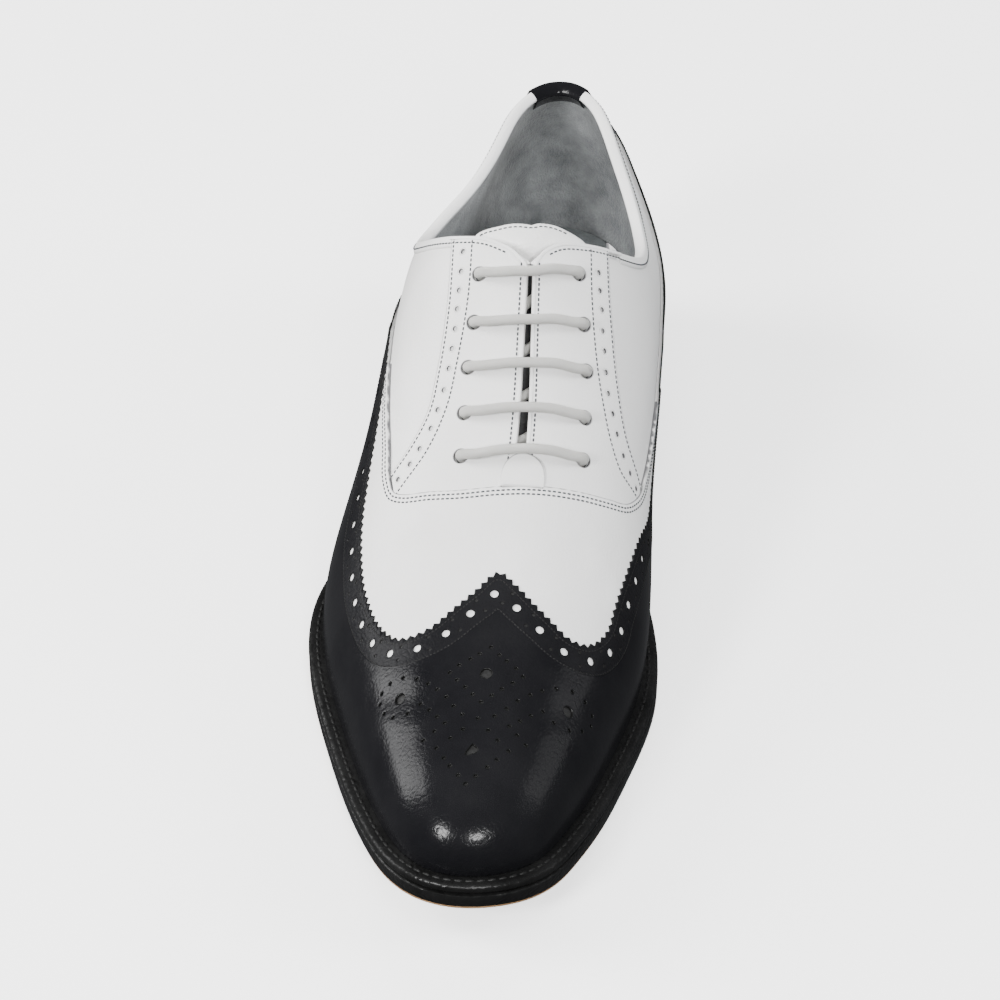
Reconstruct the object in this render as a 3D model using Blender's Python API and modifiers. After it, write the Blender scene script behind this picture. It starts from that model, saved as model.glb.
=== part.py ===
# Spectator shoe, right foot: a wing-tip lace-up with a leather sole, standing empty.
# Metres, +Z up, toe towards -Y, wearer's inner (medial) side towards +X, floor at z = 0.

import bmesh
import bpy
import numpy as np
from mathutils import Vector
from mathutils.geometry import delaunay_2d_cdt

# Driving sizes of the last.
UPPER_LENGTH = 0.2914
BALL_WIDTH = 0.094
INSTEP_HEIGHT = 0.097
HEEL_RISE = 0.024
TOE_SPRING = 0.012

# Sole pieces.
OUTSOLE_THICK = 0.0055
WELT_THICK = 0.0035
WELT_FRONT = 0.0065
WELT_BACK = 0.0022
WELT_INSIDE = 0.0042
TOP_PIECE_THICK = 0.006
HEEL_LENGTH = 0.070
HEEL_TAPER = 0.0012
HEEL_BREAST_CURVE = 0.003
EDGE_ROUND = 0.0009
INSOLE_THICK = 0.0025

# Leather pieces of the upper.
WALL = 0.0022
EYESTAY_THICK = 0.0007
VAMP_THICK = 0.0008
TAB_THICK = 0.0006
WING_THICK = 0.0014
COUNTER_THICK = 0.0011
STRIP_THICK = 0.0008
TONGUE_THICK = 0.0026
GAP = 0.0003
SEAM_GAP = 0.0004
LASTING_MARGIN = 0.0016
VAMP_TAIL = 0.006

# Throat and lace.
THROAT_GAP = 0.0026
LACE_DIAMETER = 0.0030
EYELET_RADIUS = 0.0021
LACE_CLEARANCE = 0.00045
BAR_ARCH = 0.0004
BAR_START = 0.0045
CROWDED_BAR_ARCH = BAR_ARCH + TAB_THICK + GAP
LACE_END_SHIFT = 0.0042
STRIP_HALF_WIDTH = 0.0100
STRIP_TURN_IN = 0.0040
STRIP_CLEARANCE = 0.0005

# Where the sole is flat on the floor and where the seat starts, as shares of its length.
TREAD_BACK = 0.584
TREAD_FRONT = 0.752
SEAT_FRONT = 0.203
WAIST_START = 0.366
WAIST_END = 0.610
TOE_CURVE = 1.75

# Where the wing's tails meet the heel counter, as a share of the way to the toe.
WAIST_SEAM = 0.400

# Fineness of the faces.
STATIONS = 36
STATION_CROWDING = 0.35
LEVELS = 9
NEAR_LINE = 0.30
NEAR_FEATHER = 0.98
NEAR_RIDGE = 0.01
HOLE_SIDES = 8
HEEL_STEPS = 11
TONGUE_ROWS = 12
TONGUE_COLUMNS = 7
STRIP_COLUMNS = 9

# Sections of the last, from the heel to the toe. back: share of UPPER_LENGTH from the
# heel; lateral, medial: half widths at the feather line; crest, crest_x, crest_up: the
# ridge point, back as a share of UPPER_LENGTH, across, and above the feather line; rise:
# height of the wall's bulge as a share of crest_up; bulge: how far the wall swells past
# the feather line; lean: how far the top of the section spreads towards the wall.
# Widths are shares of BALL_WIDTH and crest_up is a share of INSTEP_HEIGHT.
LAST_COLUMNS = ("back", "lateral", "medial", "crest", "crest_x", "crest_up",
                "rise", "bulge_lateral", "bulge_medial", "lean_lateral", "lean_medial")
LAST_SECTIONS = (
    (0.00, 0.000, 0.000, 0.240, 0.000, 0.906, 0.660, 0.066, 0.066, 0.720, 0.720),
    (0.02, 0.168, 0.168, 0.245, 0.000, 0.902, 0.560, 0.046, 0.066, 0.650, 0.700),
    (0.07, 0.259, 0.288, 0.260, 0.000, 0.895, 0.360, 0.047, 0.096, 0.620, 0.570),
    (0.16, 0.321, 0.356, 0.300, 0.000, 0.904, 0.280, 0.068, 0.154, 0.715, 0.510),
    (0.28, 0.385, 0.345, 0.360, 0.004, 0.952, 0.380, 0.144, 0.234, 0.910, 0.665),
    (0.40, 0.426, 0.332, 0.435, 0.023, 1.001, 0.480, 0.120, 0.277, 0.895, 0.770),
    (0.51, 0.500, 0.362, 0.520, 0.040, 0.848, 0.495, 0.072, 0.218, 0.740, 0.770),
    (0.61, 0.564, 0.428, 0.610, 0.049, 0.659, 0.505, 0.028, 0.117, 0.620, 0.715),
    (0.70, 0.527, 0.450, 0.690, 0.030, 0.506, 0.527, 0.015, 0.051, 0.606, 0.650),
    (0.79, 0.430, 0.397, 0.765, 0.018, 0.411, 0.560, 0.011, 0.020, 0.610, 0.622),
    (0.87, 0.331, 0.334, 0.825, 0.014, 0.350, 0.593, 0.011, 0.011, 0.617, 0.617),
    (0.93, 0.243, 0.269, 0.865, 0.011, 0.308, 0.614, 0.011, 0.011, 0.620, 0.620),
    (0.98, 0.138, 0.173, 0.890, 0.010, 0.284, 0.622, 0.011, 0.011, 0.620, 0.620),
    (1.00, -0.003, 0.003, 0.900, 0.010, 0.273, 0.624, 0.011, 0.011, 0.620, 0.620),
)

# Lines on the last. along: 0 at the heel's back, 1 at the toe's front, measured round the
# feather line; lateral, medial: 0 on the ridge, 1 on the feather line.
COLLAR = (  # along, lateral, medial
    (0.000, 0.481, 0.481),
    (0.050, 0.462, 0.457),
    (0.080, 0.447, 0.443),
    (0.120, 0.448, 0.452),
    (0.160, 0.472, 0.478),
    (0.200, 0.498, 0.503),
    (0.240, 0.519, 0.521),
    (0.280, 0.536, 0.529),
    (0.320, 0.512, 0.496),
    (0.360, 0.429, 0.408),
    (0.380, 0.352, 0.328),
    (0.399, 0.230, 0.200),
    (0.408, 0.120, 0.105),
    (0.416, 0.052, 0.052),
)
THROAT_TOP = 0.429
THROAT_END = 0.5975
COUNTER_EDGE = (  # along, lateral, medial
    (0.000, 0.600, 0.600),
    (0.050, 0.580, 0.580),
    (0.090, 0.560, 0.560),
    (0.120, 0.570, 0.570),
    (0.150, 0.605, 0.610),
    (0.200, 0.665, 0.680),
    (0.260, 0.700, 0.728),
    (0.320, 0.700, 0.750),
    (0.370, 0.660, 0.758),
    (WAIST_SEAM, 0.621, 0.757),
)
WING_EDGE = (  # side (-1 lateral, 1 medial), along, across
    (-1, WAIST_SEAM, 0.621),
    (-1, 0.450, 0.566),
    (-1, 0.500, 0.548),
    (-1, 0.566, 0.541),
    (-1, 0.634, 0.546),
    (-1, 0.700, 0.519),
    (-1, 0.736, 0.466),
    (-1, 0.755, 0.400),
    (-1, 0.757, 0.233),
    (-1, 0.742, 0.149),
    (-1, 0.7255, 0.076),
    (1, 0.705, 0.000),
    (1, 0.714, 0.065),
    (1, 0.728, 0.157),
    (1, 0.7385, 0.258),
    (1, 0.7445, 0.343),
    (1, 0.735, 0.463),
    (1, 0.707, 0.525),
    (1, 0.684, 0.520),
    (1, 0.635, 0.549),
    (1, 0.604, 0.587),
    (1, 0.568, 0.660),
    (1, 0.500, 0.720),
    (1, 0.450, 0.745),
    (1, WAIST_SEAM, 0.757),
)
VAMP_EDGE = (  # side, along, across
    (-1, 0.462, 0.545),
    (-1, 0.500, 0.507),
    (-1, 0.555, 0.453),
    (-1, 0.590, 0.428),
    (-1, 0.606, 0.400),
    (-1, 0.612, 0.360),
    (-1, 0.618, 0.270),
    (-1, 0.623, 0.161),
    (-1, 0.622, 0.042),
    (1, 0.618, 0.092),
    (1, 0.6105, 0.251),
    (1, 0.600, 0.390),
    (1, 0.590, 0.476),
    (1, 0.571, 0.549),
    (1, 0.522, 0.638),
    (1, 0.452, 0.712),
    (1, 0.425, 0.732),
)
EYESTAY_EDGE = (  # lateral along, across, then medial along, across
    (0.398, 0.255, 0.384, 0.318),
    (0.430, 0.252, 0.408, 0.330),
    (0.466, 0.252, 0.435, 0.343),
    (0.512, 0.272, 0.473, 0.377),
    (0.551, 0.308, 0.505, 0.416),
    (0.573, 0.370, 0.532, 0.478),
    (0.590, 0.440, 0.552, 0.600),
)
EYELETS = (  # lateral along, across, then medial along, across
    (0.442, 0.145, 0.431, 0.198),
    (0.482, 0.155, 0.472, 0.228),
    (0.518, 0.167, 0.508, 0.248),
    (0.556, 0.171, 0.547, 0.249),
    (0.593, 0.173, 0.583, 0.252),
)
TONGUE_RISE_START = 0.605
TONGUE_FOOT = 0.640
TONGUE_TOP = 0.385
TONGUE_OUTLINE = (  # side, along, across
    (-1, TONGUE_FOOT, 0.000),
    (-1, TONGUE_FOOT, 0.150),
    (-1, 0.560, 0.215),
    (-1, 0.460, 0.215),
    (-1, 0.400, 0.205),
    (-1, 0.388, 0.160),
    (-1, 0.380, 0.000),
    (1, 0.376, 0.150),
    (1, 0.384, 0.270),
    (1, 0.400, 0.300),
    (1, 0.460, 0.320),
    (1, 0.560, 0.330),
    (1, TONGUE_FOOT, 0.200),
)
TAB_CENTRE = 0.019
TAB_HALF_WIDTH = 0.0064
TAB_LENGTH = 0.0098
TAB_SEAM_SHARE = 0.001
COLLAR_SEAM_SHARE = 0.002
LACE_BEND = (  # aside from the eyelet's centre; above the facing and below the wall
    (0.0026, 0.0000, None),
    (0.0011, -0.0004, None),
    (0.0003, -0.0012, None),
    (0.0000, None, None),
    (0.0000, None, 0.0010),
    (0.0010, None, 0.0001),
)

# Length over the welt, and the places that centre the shoe's box on the origin.
SOLE_LENGTH = UPPER_LENGTH + WELT_BACK + WELT_FRONT
BACK_Y = SOLE_LENGTH / 2 - WELT_BACK
AXIS_X = (max(row[1] for row in LAST_SECTIONS) - max(row[2] for row in LAST_SECTIONS)) / 2


def ease(x):
    """Smooth step from 0 to 1 with no kink at either end."""
    x = np.clip(x, 0.0, 1.0)
    return x ** 3 * (x * (6 * x - 15) + 10)


def sole_share(y):
    return (SOLE_LENGTH / 2 - y) / SOLE_LENGTH


def bottom(y):
    """Height of the outsole's underside: raised seat, flat tread, toe spring."""
    share = sole_share(y)
    heel = HEEL_RISE * ease((TREAD_BACK - share) / (TREAD_BACK - SEAT_FRONT))
    past_tread = np.clip((share - TREAD_FRONT) / (1 - TREAD_FRONT), 0.0, None)
    return heel + TOE_SPRING * past_tread ** TOE_CURVE


def outsole_top(y):
    return bottom(y) + OUTSOLE_THICK


def feather(y):
    """Height of the upper's lower edge, just above the welt."""
    return outsole_top(y) + GAP + WELT_THICK + GAP


class ClosedCurve:
    """Smooth closed cubic through one value for each knot, over a parameter from 0 to 1."""

    def __init__(self, knots, values):
        count = len(values)
        span = np.diff(knots)
        matrix = np.zeros((count, count))
        right = np.zeros_like(values)
        for i in range(count):
            ahead = (i + 1) % count
            matrix[i, i - 1] += span[i - 1]
            matrix[i, i] += 2 * (span[i - 1] + span[i])
            matrix[i, ahead] += span[i]
            right[i] = 6 * ((values[ahead] - values[i]) / span[i]
                            - (values[i] - values[i - 1]) / span[i - 1])
        self.knots = knots
        self.span = span
        self.values = values
        self.bend = np.linalg.solve(matrix, right)

    def __call__(self, t):
        t = np.mod(t, 1.0)
        i = np.searchsorted(self.knots, t, side="right") - 1
        i = np.clip(i, 0, len(self.values) - 1)
        j = (i + 1) % len(self.values)
        a = (t - self.knots[i])[..., None]
        b = (self.knots[i + 1] - t)[..., None]
        h = self.span[i][..., None]
        curve = (self.bend[i] * b ** 3 + self.bend[j] * a ** 3) / (6 * h)
        start = (self.values[i] / h - self.bend[i] * h / 6) * b
        end = (self.values[j] / h - self.bend[j] * h / 6) * a
        return curve + start + end


def last_curves():
    """The four closed curves whose points make each section a cubic arch."""
    column = dict(zip(LAST_COLUMNS, np.array(LAST_SECTIONS).T))
    count = len(LAST_SECTIONS)
    y = BACK_Y - column["back"] * UPPER_LENGTH
    crest_y = BACK_Y - column["crest"] * UPPER_LENGTH
    crest_z = feather(crest_y) + column["crest_up"] * INSTEP_HEIGHT
    slope = np.gradient(crest_z, crest_y)
    slope[:3] = 0.0
    lateral = (AXIS_X - column["lateral"]) * BALL_WIDTH
    medial = (AXIS_X + column["medial"]) * BALL_WIDTH
    half = 0.5 * (np.hypot(np.diff(lateral), np.diff(y)) + np.hypot(np.diff(medial), np.diff(y)))
    knots = np.concatenate([[0.0], np.cumsum(half)])
    knots = np.concatenate([knots, knots[-1] + np.cumsum(half[::-1])])
    knots /= knots[-1]
    medial_rows = list(range(count - 2, 0, -1))

    def both(on_lateral, on_medial):
        return np.concatenate([on_lateral, on_medial[medial_rows]])

    foot_y = both(y, y)
    foot = np.stack([both(lateral, medial), foot_y, feather(foot_y)], 1)
    crest_x = (AXIS_X + column["crest_x"]) * BALL_WIDTH
    crest = np.stack([both(crest_x, crest_x), both(crest_y, crest_y),
                      both(crest_z, crest_z)], 1)
    outline = ClosedCurve(knots, foot)
    step = 1e-4
    forward = (outline(knots[:-1] + step) - outline(knots[:-1] - step))[:, :2]
    outward = np.stack([-forward[:, 1], forward[:, 0]], 1)
    outward /= np.linalg.norm(outward, axis=1)[:, None]
    outward *= np.sign(((foot - crest)[:, :2] * outward).sum(1))[:, None]
    bulge = both(column["bulge_lateral"], column["bulge_medial"]) * BALL_WIDTH
    rise = both(column["rise"], column["rise"])
    lean = both(column["lean_lateral"], column["lean_medial"])
    wall = foot.copy()
    wall[:, :2] += outward * bulge[:, None]
    wall[:, 2] += rise * (crest[:, 2] - foot[:, 2])
    spread = (foot - crest)[:, :2] * lean[:, None]
    shoulder = crest.copy()
    shoulder[:, :2] += spread
    shoulder[:, 2] += both(slope, slope) * spread[:, 1]
    return [ClosedCurve(knots, points) for points in (foot, wall, shoulder, crest)]


CURVES = last_curves()


def surface(t, v):
    """Point of the last: t round the feather line, v from the feather line to the ridge."""
    foot, wall, shoulder, crest = [curve(t) for curve in CURVES]
    v = v[..., None]
    w = 1 - v
    return w ** 3 * foot + 3 * w * w * v * wall + 3 * w * v * v * shoulder + v ** 3 * crest


def chart(along, across):
    along, across = np.broadcast_arrays(np.asarray(along, float), np.asarray(across, float))
    return np.where(across <= 0, along / 2, 1 - along / 2), 1 - np.abs(across)


def normal(along, across):
    t, v = chart(along, across)
    step = 2e-4
    v = np.clip(v, step, 1 - 2 * step)
    round_way = surface(t + step, v) - surface(t - step, v)
    up_way = surface(t, v + step) - surface(t, v - step)
    out = np.cross(round_way, up_way)
    return out / np.linalg.norm(out, axis=-1)[..., None]


def point(along, across, lift=0.0):
    """Point at a place on the last, raised off it by lift."""
    t, v = chart(along, across)
    lift = np.broadcast_to(np.asarray(lift, float), t.shape)
    return surface(t, v) + normal(along, across) * lift[..., None]


def speed(along, across):
    """Metres per unit of along and of across at one place."""
    step = 1e-3
    side = np.sign(across) if across else 1.0
    ahead = point(along + step, across) - point(along - step, across)
    down = point(along, across + side * step) - point(along, across)
    return ahead / (2 * step), down / (side * step)


def around(along, across, offsets):
    """Chart places of offsets in metres, (along the shoe, across it), from one place."""
    ahead, down = speed(along, across)
    ahead_hat = ahead / np.linalg.norm(ahead)
    down_hat = down - ahead_hat * np.dot(down, ahead_hat)
    down_hat /= np.linalg.norm(down_hat)
    frame = np.array([[np.dot(ahead, ahead_hat), np.dot(down, ahead_hat)],
                      [np.dot(ahead, down_hat), np.dot(down, down_hat)]])
    moves = np.linalg.solve(frame, np.asarray(offsets, float).T).T
    return np.array([along, across]) + moves


def smooth_line(points, steps):
    """Curve through chart places, with steps points for each gap between them."""
    points = np.asarray(points, float)
    reach = np.concatenate([[0.0], np.cumsum(np.hypot(*(np.diff(points, axis=0) * CHART_SCALE).T))])
    slope = np.gradient(points, reach, axis=0)
    line = []
    for i in range(len(points) - 1):
        h = reach[i + 1] - reach[i]
        for k in range(steps):
            s = k / steps
            line.append((1 + 2 * s) * (1 - s) ** 2 * points[i] + s * (1 - s) ** 2 * h * slope[i]
                        + s * s * (3 - 2 * s) * points[i + 1] + s * s * (s - 1) * h * slope[i + 1])
    line.append(points[-1])
    return np.array(line)


# Rough metres per unit of along and of across, for even faces.
CHART_SCALE = np.array([UPPER_LENGTH * 1.33, INSTEP_HEIGHT])
STATION_U = np.arange(STATIONS + 1) / STATIONS
STATION_U = STATION_U - STATION_CROWDING * np.sin(2 * np.pi * STATION_U) / (2 * np.pi)
RING_T = np.concatenate([STATION_U / 2, 1 - STATION_U[-2:0:-1] / 2])


def signed(rows):
    """Rows of side, along, across as chart places."""
    return [(along, side * across) for side, along, across in rows]


def column_line(rows, side, steps):
    """One side of a table of along, lateral, medial as a line of chart places."""
    pick = 1 if side < 0 else 2
    return smooth_line([(row[0], side * row[pick]) for row in rows], steps)


def pair_line(rows, side, steps):
    """One side of a table of lateral along, across, medial along, across."""
    first = 0 if side < 0 else 2
    return smooth_line([(row[first], side * row[first + 1]) for row in rows], steps)


def inside(places, polygon):
    """Which chart places lie inside a closed polygon."""
    x, y = places[:, 0], places[:, 1]
    found = np.zeros(len(places), bool)
    ends = np.roll(polygon, -1, axis=0)
    for (x0, y0), (x1, y1) in zip(polygon, ends):
        if y0 == y1:
            continue
        crosses = (y0 > y) != (y1 > y)
        found ^= crosses & (x < x0 + (y - y0) * (x1 - x0) / (y1 - y0))
    return found


def shifted(line, distance):
    """A line of chart places moved sideways by a distance in metres, to its left."""
    step = np.gradient(line, axis=0) * CHART_SCALE
    left = np.stack([-step[:, 1], step[:, 0]], 1)
    left /= np.linalg.norm(left, axis=1)[:, None]
    return line + left * distance / CHART_SCALE


def margin(along, side, distance):
    """Share of across that lies a distance above the feather line."""
    down = speed(along, side * NEAR_FEATHER)[1]
    return 1 - distance / np.linalg.norm(down)


def ring_margin(side, first, last):
    """Lower edge of an overlay, the lasting margin above the feather line."""
    stops = STATION_U[(STATION_U > first) & (STATION_U < last)]
    stops = np.concatenate([[first], stops, [last]])
    return np.array([(u, side * margin(u, side, LASTING_MARGIN)) for u in stops])


def eyelet_places():
    places = []
    for row in EYELETS:
        places.append((row[0], -row[1]))
        places.append((row[2], row[3]))
    return places


def hole_loop(place, radius, sides):
    turn = 2 * np.pi * np.arange(sides) / sides
    return around(place[0], place[1], radius * np.stack([np.cos(turn), np.sin(turn)], 1))


def throat_line(side, first, last, steps):
    """Edge of the throat, half the gap away from the ridge."""
    stops = np.linspace(first, last, steps)
    half = THROAT_GAP / 2
    return np.array([(u, side * half / np.linalg.norm(speed(u, side * NEAR_RIDGE)[1]))
                     for u in stops])


def opening_outline():
    """Collar and throat in one closed line, from the heel round by the lateral side."""
    lateral = column_line(COLLAR, -1, 2)
    medial = column_line(COLLAR, 1, 2)
    left = throat_line(-1, THROAT_TOP, THROAT_END, 9)
    right = throat_line(1, THROAT_TOP, THROAT_END, 9)
    return np.concatenate([lateral, left, right[::-1], medial[::-1]])


def whole_outline():
    """The upper's sheet, without the collar and throat."""
    left = np.stack([STATION_U, -np.ones(STATIONS + 1)], 1)
    right = left * [1, -1]
    toe = np.array([(1.0, k / LEVELS) for k in range(1 - LEVELS, LEVELS)])
    heel_levels = np.linspace(1.0, COLLAR[0][1], 6)[1:-1]
    up = np.array([(0.0, level) for level in heel_levels])
    down = np.array([(0.0, -level) for level in heel_levels[::-1]])
    hole = opening_outline()
    return np.concatenate([left, toe, right[::-1], up, hole[::-1], down])


def wing_outline():
    tail = WAIST_SEAM + SEAM_GAP / CHART_SCALE[0]
    edge = smooth_line(signed(WING_EDGE), 2)
    edge[0, 0] = tail
    edge[-1, 0] = tail
    lateral = ring_margin(-1, tail, 1.0)
    medial = ring_margin(1, tail, 1.0)
    toe = np.array([(1.0, k / LEVELS) for k in range(1 - LEVELS, LEVELS)])
    return np.concatenate([lateral, toe, medial[::-1], edge[::-1]])


def counter_outlines():
    """The heel counter's two halves, which meet at the heel's back."""
    halves = []
    for side in (-1, 1):
        edge = column_line(COUNTER_EDGE, side, 2)
        end = COUNTER_EDGE[-1][0]
        low = ring_margin(side, 0.0, end)
        halves.append(np.concatenate([edge, low[::-1]]))
    return halves


def vamp_outline():
    """Between its own curved top edge and the wing's edge."""
    top = smooth_line(signed(VAMP_EDGE), 2)
    low = shifted(smooth_line(signed(WING_EDGE), 2), SEAM_GAP)
    tail = np.where(low[:, 1] < 0, top[0, 0], top[-1, 0])
    low = low[low[:, 0] > tail + VAMP_TAIL]
    return np.concatenate([top, low[::-1]])


def eyestay_outline(side):
    """From the throat out to the punched strip, and down to the vamp's edge."""
    collar = column_line(COLLAR, side, 2)
    outer = pair_line(EYESTAY_EDGE, side, 2)
    top = collar[collar[:, 0] > outer[0, 0] + COLLAR_SEAM_SHARE]
    seam = shifted(smooth_line(signed(VAMP_EDGE), 2), SEAM_GAP)
    on_side = (seam[:, 1] * side > 0) & (np.abs(seam[:, 1]) < np.abs(outer[-1, 1]))
    seam = seam[on_side]
    from_ridge = seam[np.argsort(np.abs(seam[:, 1]))]
    outer = outer[~inside(outer, vamp_outline())]
    throat = throat_line(side, THROAT_TOP, TONGUE_FOOT, 11)
    throat = throat[throat[:, 0] < from_ridge[0, 0]]
    return np.concatenate([top, throat, from_ridge, outer[::-1]])


def tab_outline():
    """Half-round tab that closes the foot of the throat."""
    seam = shifted(smooth_line(signed(VAMP_EDGE), 2), SEAM_GAP)
    place = np.interp(0.0, seam[:, 1], seam[:, 0])
    straight = TAB_LENGTH - TAB_HALF_WIDTH
    turn = np.linspace(0, np.pi, 9)
    offsets = [(0.0, -TAB_HALF_WIDTH)]
    offsets += [(-straight - TAB_HALF_WIDTH * np.sin(a), -TAB_HALF_WIDTH * np.cos(a)) for a in turn]
    offsets += [(0.0, TAB_HALF_WIDTH)]
    return around(place - TAB_SEAM_SHARE, TAB_CENTRE, offsets)


def cut_sheet():
    """The whole sheet cut into faces along every edge that a piece of the upper has."""
    holes = [hole_loop(place, EYELET_RADIUS, HOLE_SIDES) for place in eyelet_places()]
    loops = [whole_outline(), wing_outline(), vamp_outline(), tab_outline()]
    loops += [eyestay_outline(-1), eyestay_outline(1)] + counter_outlines() + holes
    places = []
    edges = []
    for loop in loops:
        start = len(places)
        places.extend(loop)
        edges += [(start + i, start + (i + 1) % len(loop)) for i in range(len(loop))]
    starts = np.array([places[a] for a, b in edges]) * CHART_SCALE
    ends = np.array([places[b] for a, b in edges]) * CHART_SCALE
    clear = NEAR_LINE * CHART_SCALE[1] / LEVELS
    for u in STATION_U[1:-1]:
        for level in range(1 - LEVELS, LEVELS):
            place = np.array([u, level / LEVELS]) * CHART_SCALE
            run = ends - starts
            share = ((place - starts) * run).sum(1) / np.maximum((run * run).sum(1), 1e-12)
            near = starts + run * np.clip(share, 0, 1)[:, None]
            if np.hypot(*(place - near).T).min() > clear:
                places.append(place / CHART_SCALE)
    flat = [Vector(place * CHART_SCALE) for place in places]
    found = delaunay_2d_cdt(flat, edges, [], 0, 1e-7)
    verts = np.array([tuple(v) for v in found[0]]) / CHART_SCALE
    faces = np.array([tuple(face) for face in found[2]])
    middles = verts[faces].mean(1)
    blank = inside(middles, whole_outline())
    for hole in holes:
        blank &= ~inside(middles, hole)
    return verts, faces[blank], middles[blank]


def material(name, color, roughness, metallic=0.0):
    mat = bpy.data.materials.new(name)
    mat.use_nodes = True
    shader = mat.node_tree.nodes["Principled BSDF"]
    shader.inputs["Base Color"].default_value = (*color, 1.0)
    shader.inputs["Roughness"].default_value = roughness
    shader.inputs["Metallic"].default_value = metallic
    return mat


def add_object(name, mesh, mat):
    mesh.materials.append(mat)
    mesh.shade_smooth()
    mesh.set_sharp_from_angle(angle=np.radians(40))
    piece = bpy.data.objects.new(name, mesh)
    SHOE.objects.link(piece)
    return piece


def mesh_from(name, verts, faces):
    """Mesh with its doubles welded and its faces turned one way."""
    build = bmesh.new()
    made = [build.verts.new(v) for v in verts]
    for face in faces:
        corners = [made[i] for i in face]
        if len(set(corners)) == len(corners):
            build.faces.new(corners)
    bmesh.ops.remove_doubles(build, verts=build.verts, dist=2e-6)
    bmesh.ops.dissolve_degenerate(build, edges=build.edges, dist=1e-6)
    loose = [v for v in build.verts if not v.link_faces]
    bmesh.ops.delete(build, geom=loose, context="VERTS")
    mesh = bpy.data.meshes.new(name)
    build.to_mesh(mesh)
    build.free()
    return mesh


def leather(name, sheet, faces, lift, thickness, mat):
    """A piece of the sheet, raised off the last, with its thickness given by Solidify."""
    used, local = np.unique(faces, return_inverse=True)
    local = local.reshape(faces.shape)
    verts = point(sheet[used, 0], sheet[used, 1], lift)
    mesh = mesh_from(name, verts, local)
    piece = add_object(name, mesh, mat)
    wall = piece.modifiers.new("Wall", "SOLIDIFY")
    wall.thickness = abs(thickness)
    wall.offset = 1.0 if thickness > 0 else -1.0
    return piece


def ring(offset, height):
    """Closed ring beside the feather line, moved outward by offset(y), at height(y)."""
    foot = CURVES[0]
    step = 1e-4
    places = foot(RING_T)
    forward = (foot(RING_T + step) - foot(RING_T - step))[:, :2]
    outward = np.stack([-forward[:, 1], forward[:, 0]], 1)
    outward /= np.linalg.norm(outward, axis=1)[:, None]
    outward *= np.sign((outward * (places[:, :2] - places[:, :2].mean(0))).sum(1))[:, None]
    moved = places.copy()
    moved[:, :2] += outward * offset(places[:, 1])[:, None]
    moved[:, 2] = height(moved[:, 1])
    return moved


def stacked(rings, closed_ring):
    """Faces between rings; ends are capped with strips, or joined where closed_ring."""
    count = len(rings[0])
    verts = np.concatenate(rings)
    faces = []
    bands = len(rings) if closed_ring else len(rings) - 1
    for band in range(bands):
        low = band * count
        high = (band + 1) % len(rings) * count
        for i in range(count):
            j = (i + 1) % count
            faces.append((low + i, low + j, high + j, high + i))
    if not closed_ring:
        for start, flip in ((0, True), ((len(rings) - 1) * count, False)):
            for i in range(count // 2):
                strip = [i, (i + 1) % count, (count - i - 1) % count, (count - i) % count]
                strip = [start + k for k in dict.fromkeys(strip)]
                if len(strip) > 2:
                    faces.append(tuple(strip[::-1] if flip else strip))
    return verts, faces


def outward_mesh(name, verts, faces):
    build = bmesh.new()
    made = [build.verts.new(v) for v in verts]
    for face in faces:
        build.faces.new([made[i] for i in face])
    bmesh.ops.remove_doubles(build, verts=build.verts, dist=2e-6)
    bmesh.ops.recalc_face_normals(build, faces=build.faces)
    mesh = bpy.data.meshes.new(name)
    build.to_mesh(mesh)
    build.free()
    return mesh


def welt_reach(y):
    """How far the welt and outsole stand out past the feather line."""
    share = sole_share(y)
    front = ease((share - WAIST_START) / (WAIST_END - WAIST_START))
    return WELT_BACK + (WELT_FRONT - WELT_BACK) * front


def make_outsole(mat):
    def low(y):
        return bottom(y)

    def reach_in(y):
        return welt_reach(y) - EDGE_ROUND

    def low_side(y):
        return bottom(y) + EDGE_ROUND

    def high_side(y):
        return outsole_top(y) - EDGE_ROUND / 2

    rings = [ring(reach_in, low), ring(welt_reach, low_side), ring(welt_reach, high_side),
             ring(reach_in, outsole_top)]
    verts, faces = stacked(rings, False)
    return add_object("outsole", outward_mesh("outsole", verts, faces), mat)


def make_welt(mat):
    def base(y):
        return outsole_top(y) + GAP

    def middle(y):
        return base(y) + WELT_THICK / 2

    def top(y):
        return base(y) + WELT_THICK

    def inner(y):
        return 0 * y - WELT_INSIDE

    def rounded(y):
        return welt_reach(y) - EDGE_ROUND

    rings = [ring(inner, base), ring(rounded, base), ring(welt_reach, middle),
             ring(rounded, top), ring(inner, top)]
    verts, faces = stacked(rings, True)
    return add_object("welt", outward_mesh("welt", verts, faces), mat)


def make_insole(mat):
    def filler(y):
        return 0 * y - WELT_INSIDE - 2 * GAP

    def board(y):
        return 0 * y - WALL - 3 * GAP

    def filler_low(y):
        return outsole_top(y) + GAP

    def top(y):
        return feather(y) + INSOLE_THICK

    rings = [ring(filler, filler_low), ring(filler, feather), ring(board, feather),
             ring(board, top)]
    verts, faces = stacked(rings, False)
    return add_object("insole", outward_mesh("insole", verts, faces), mat)


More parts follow.
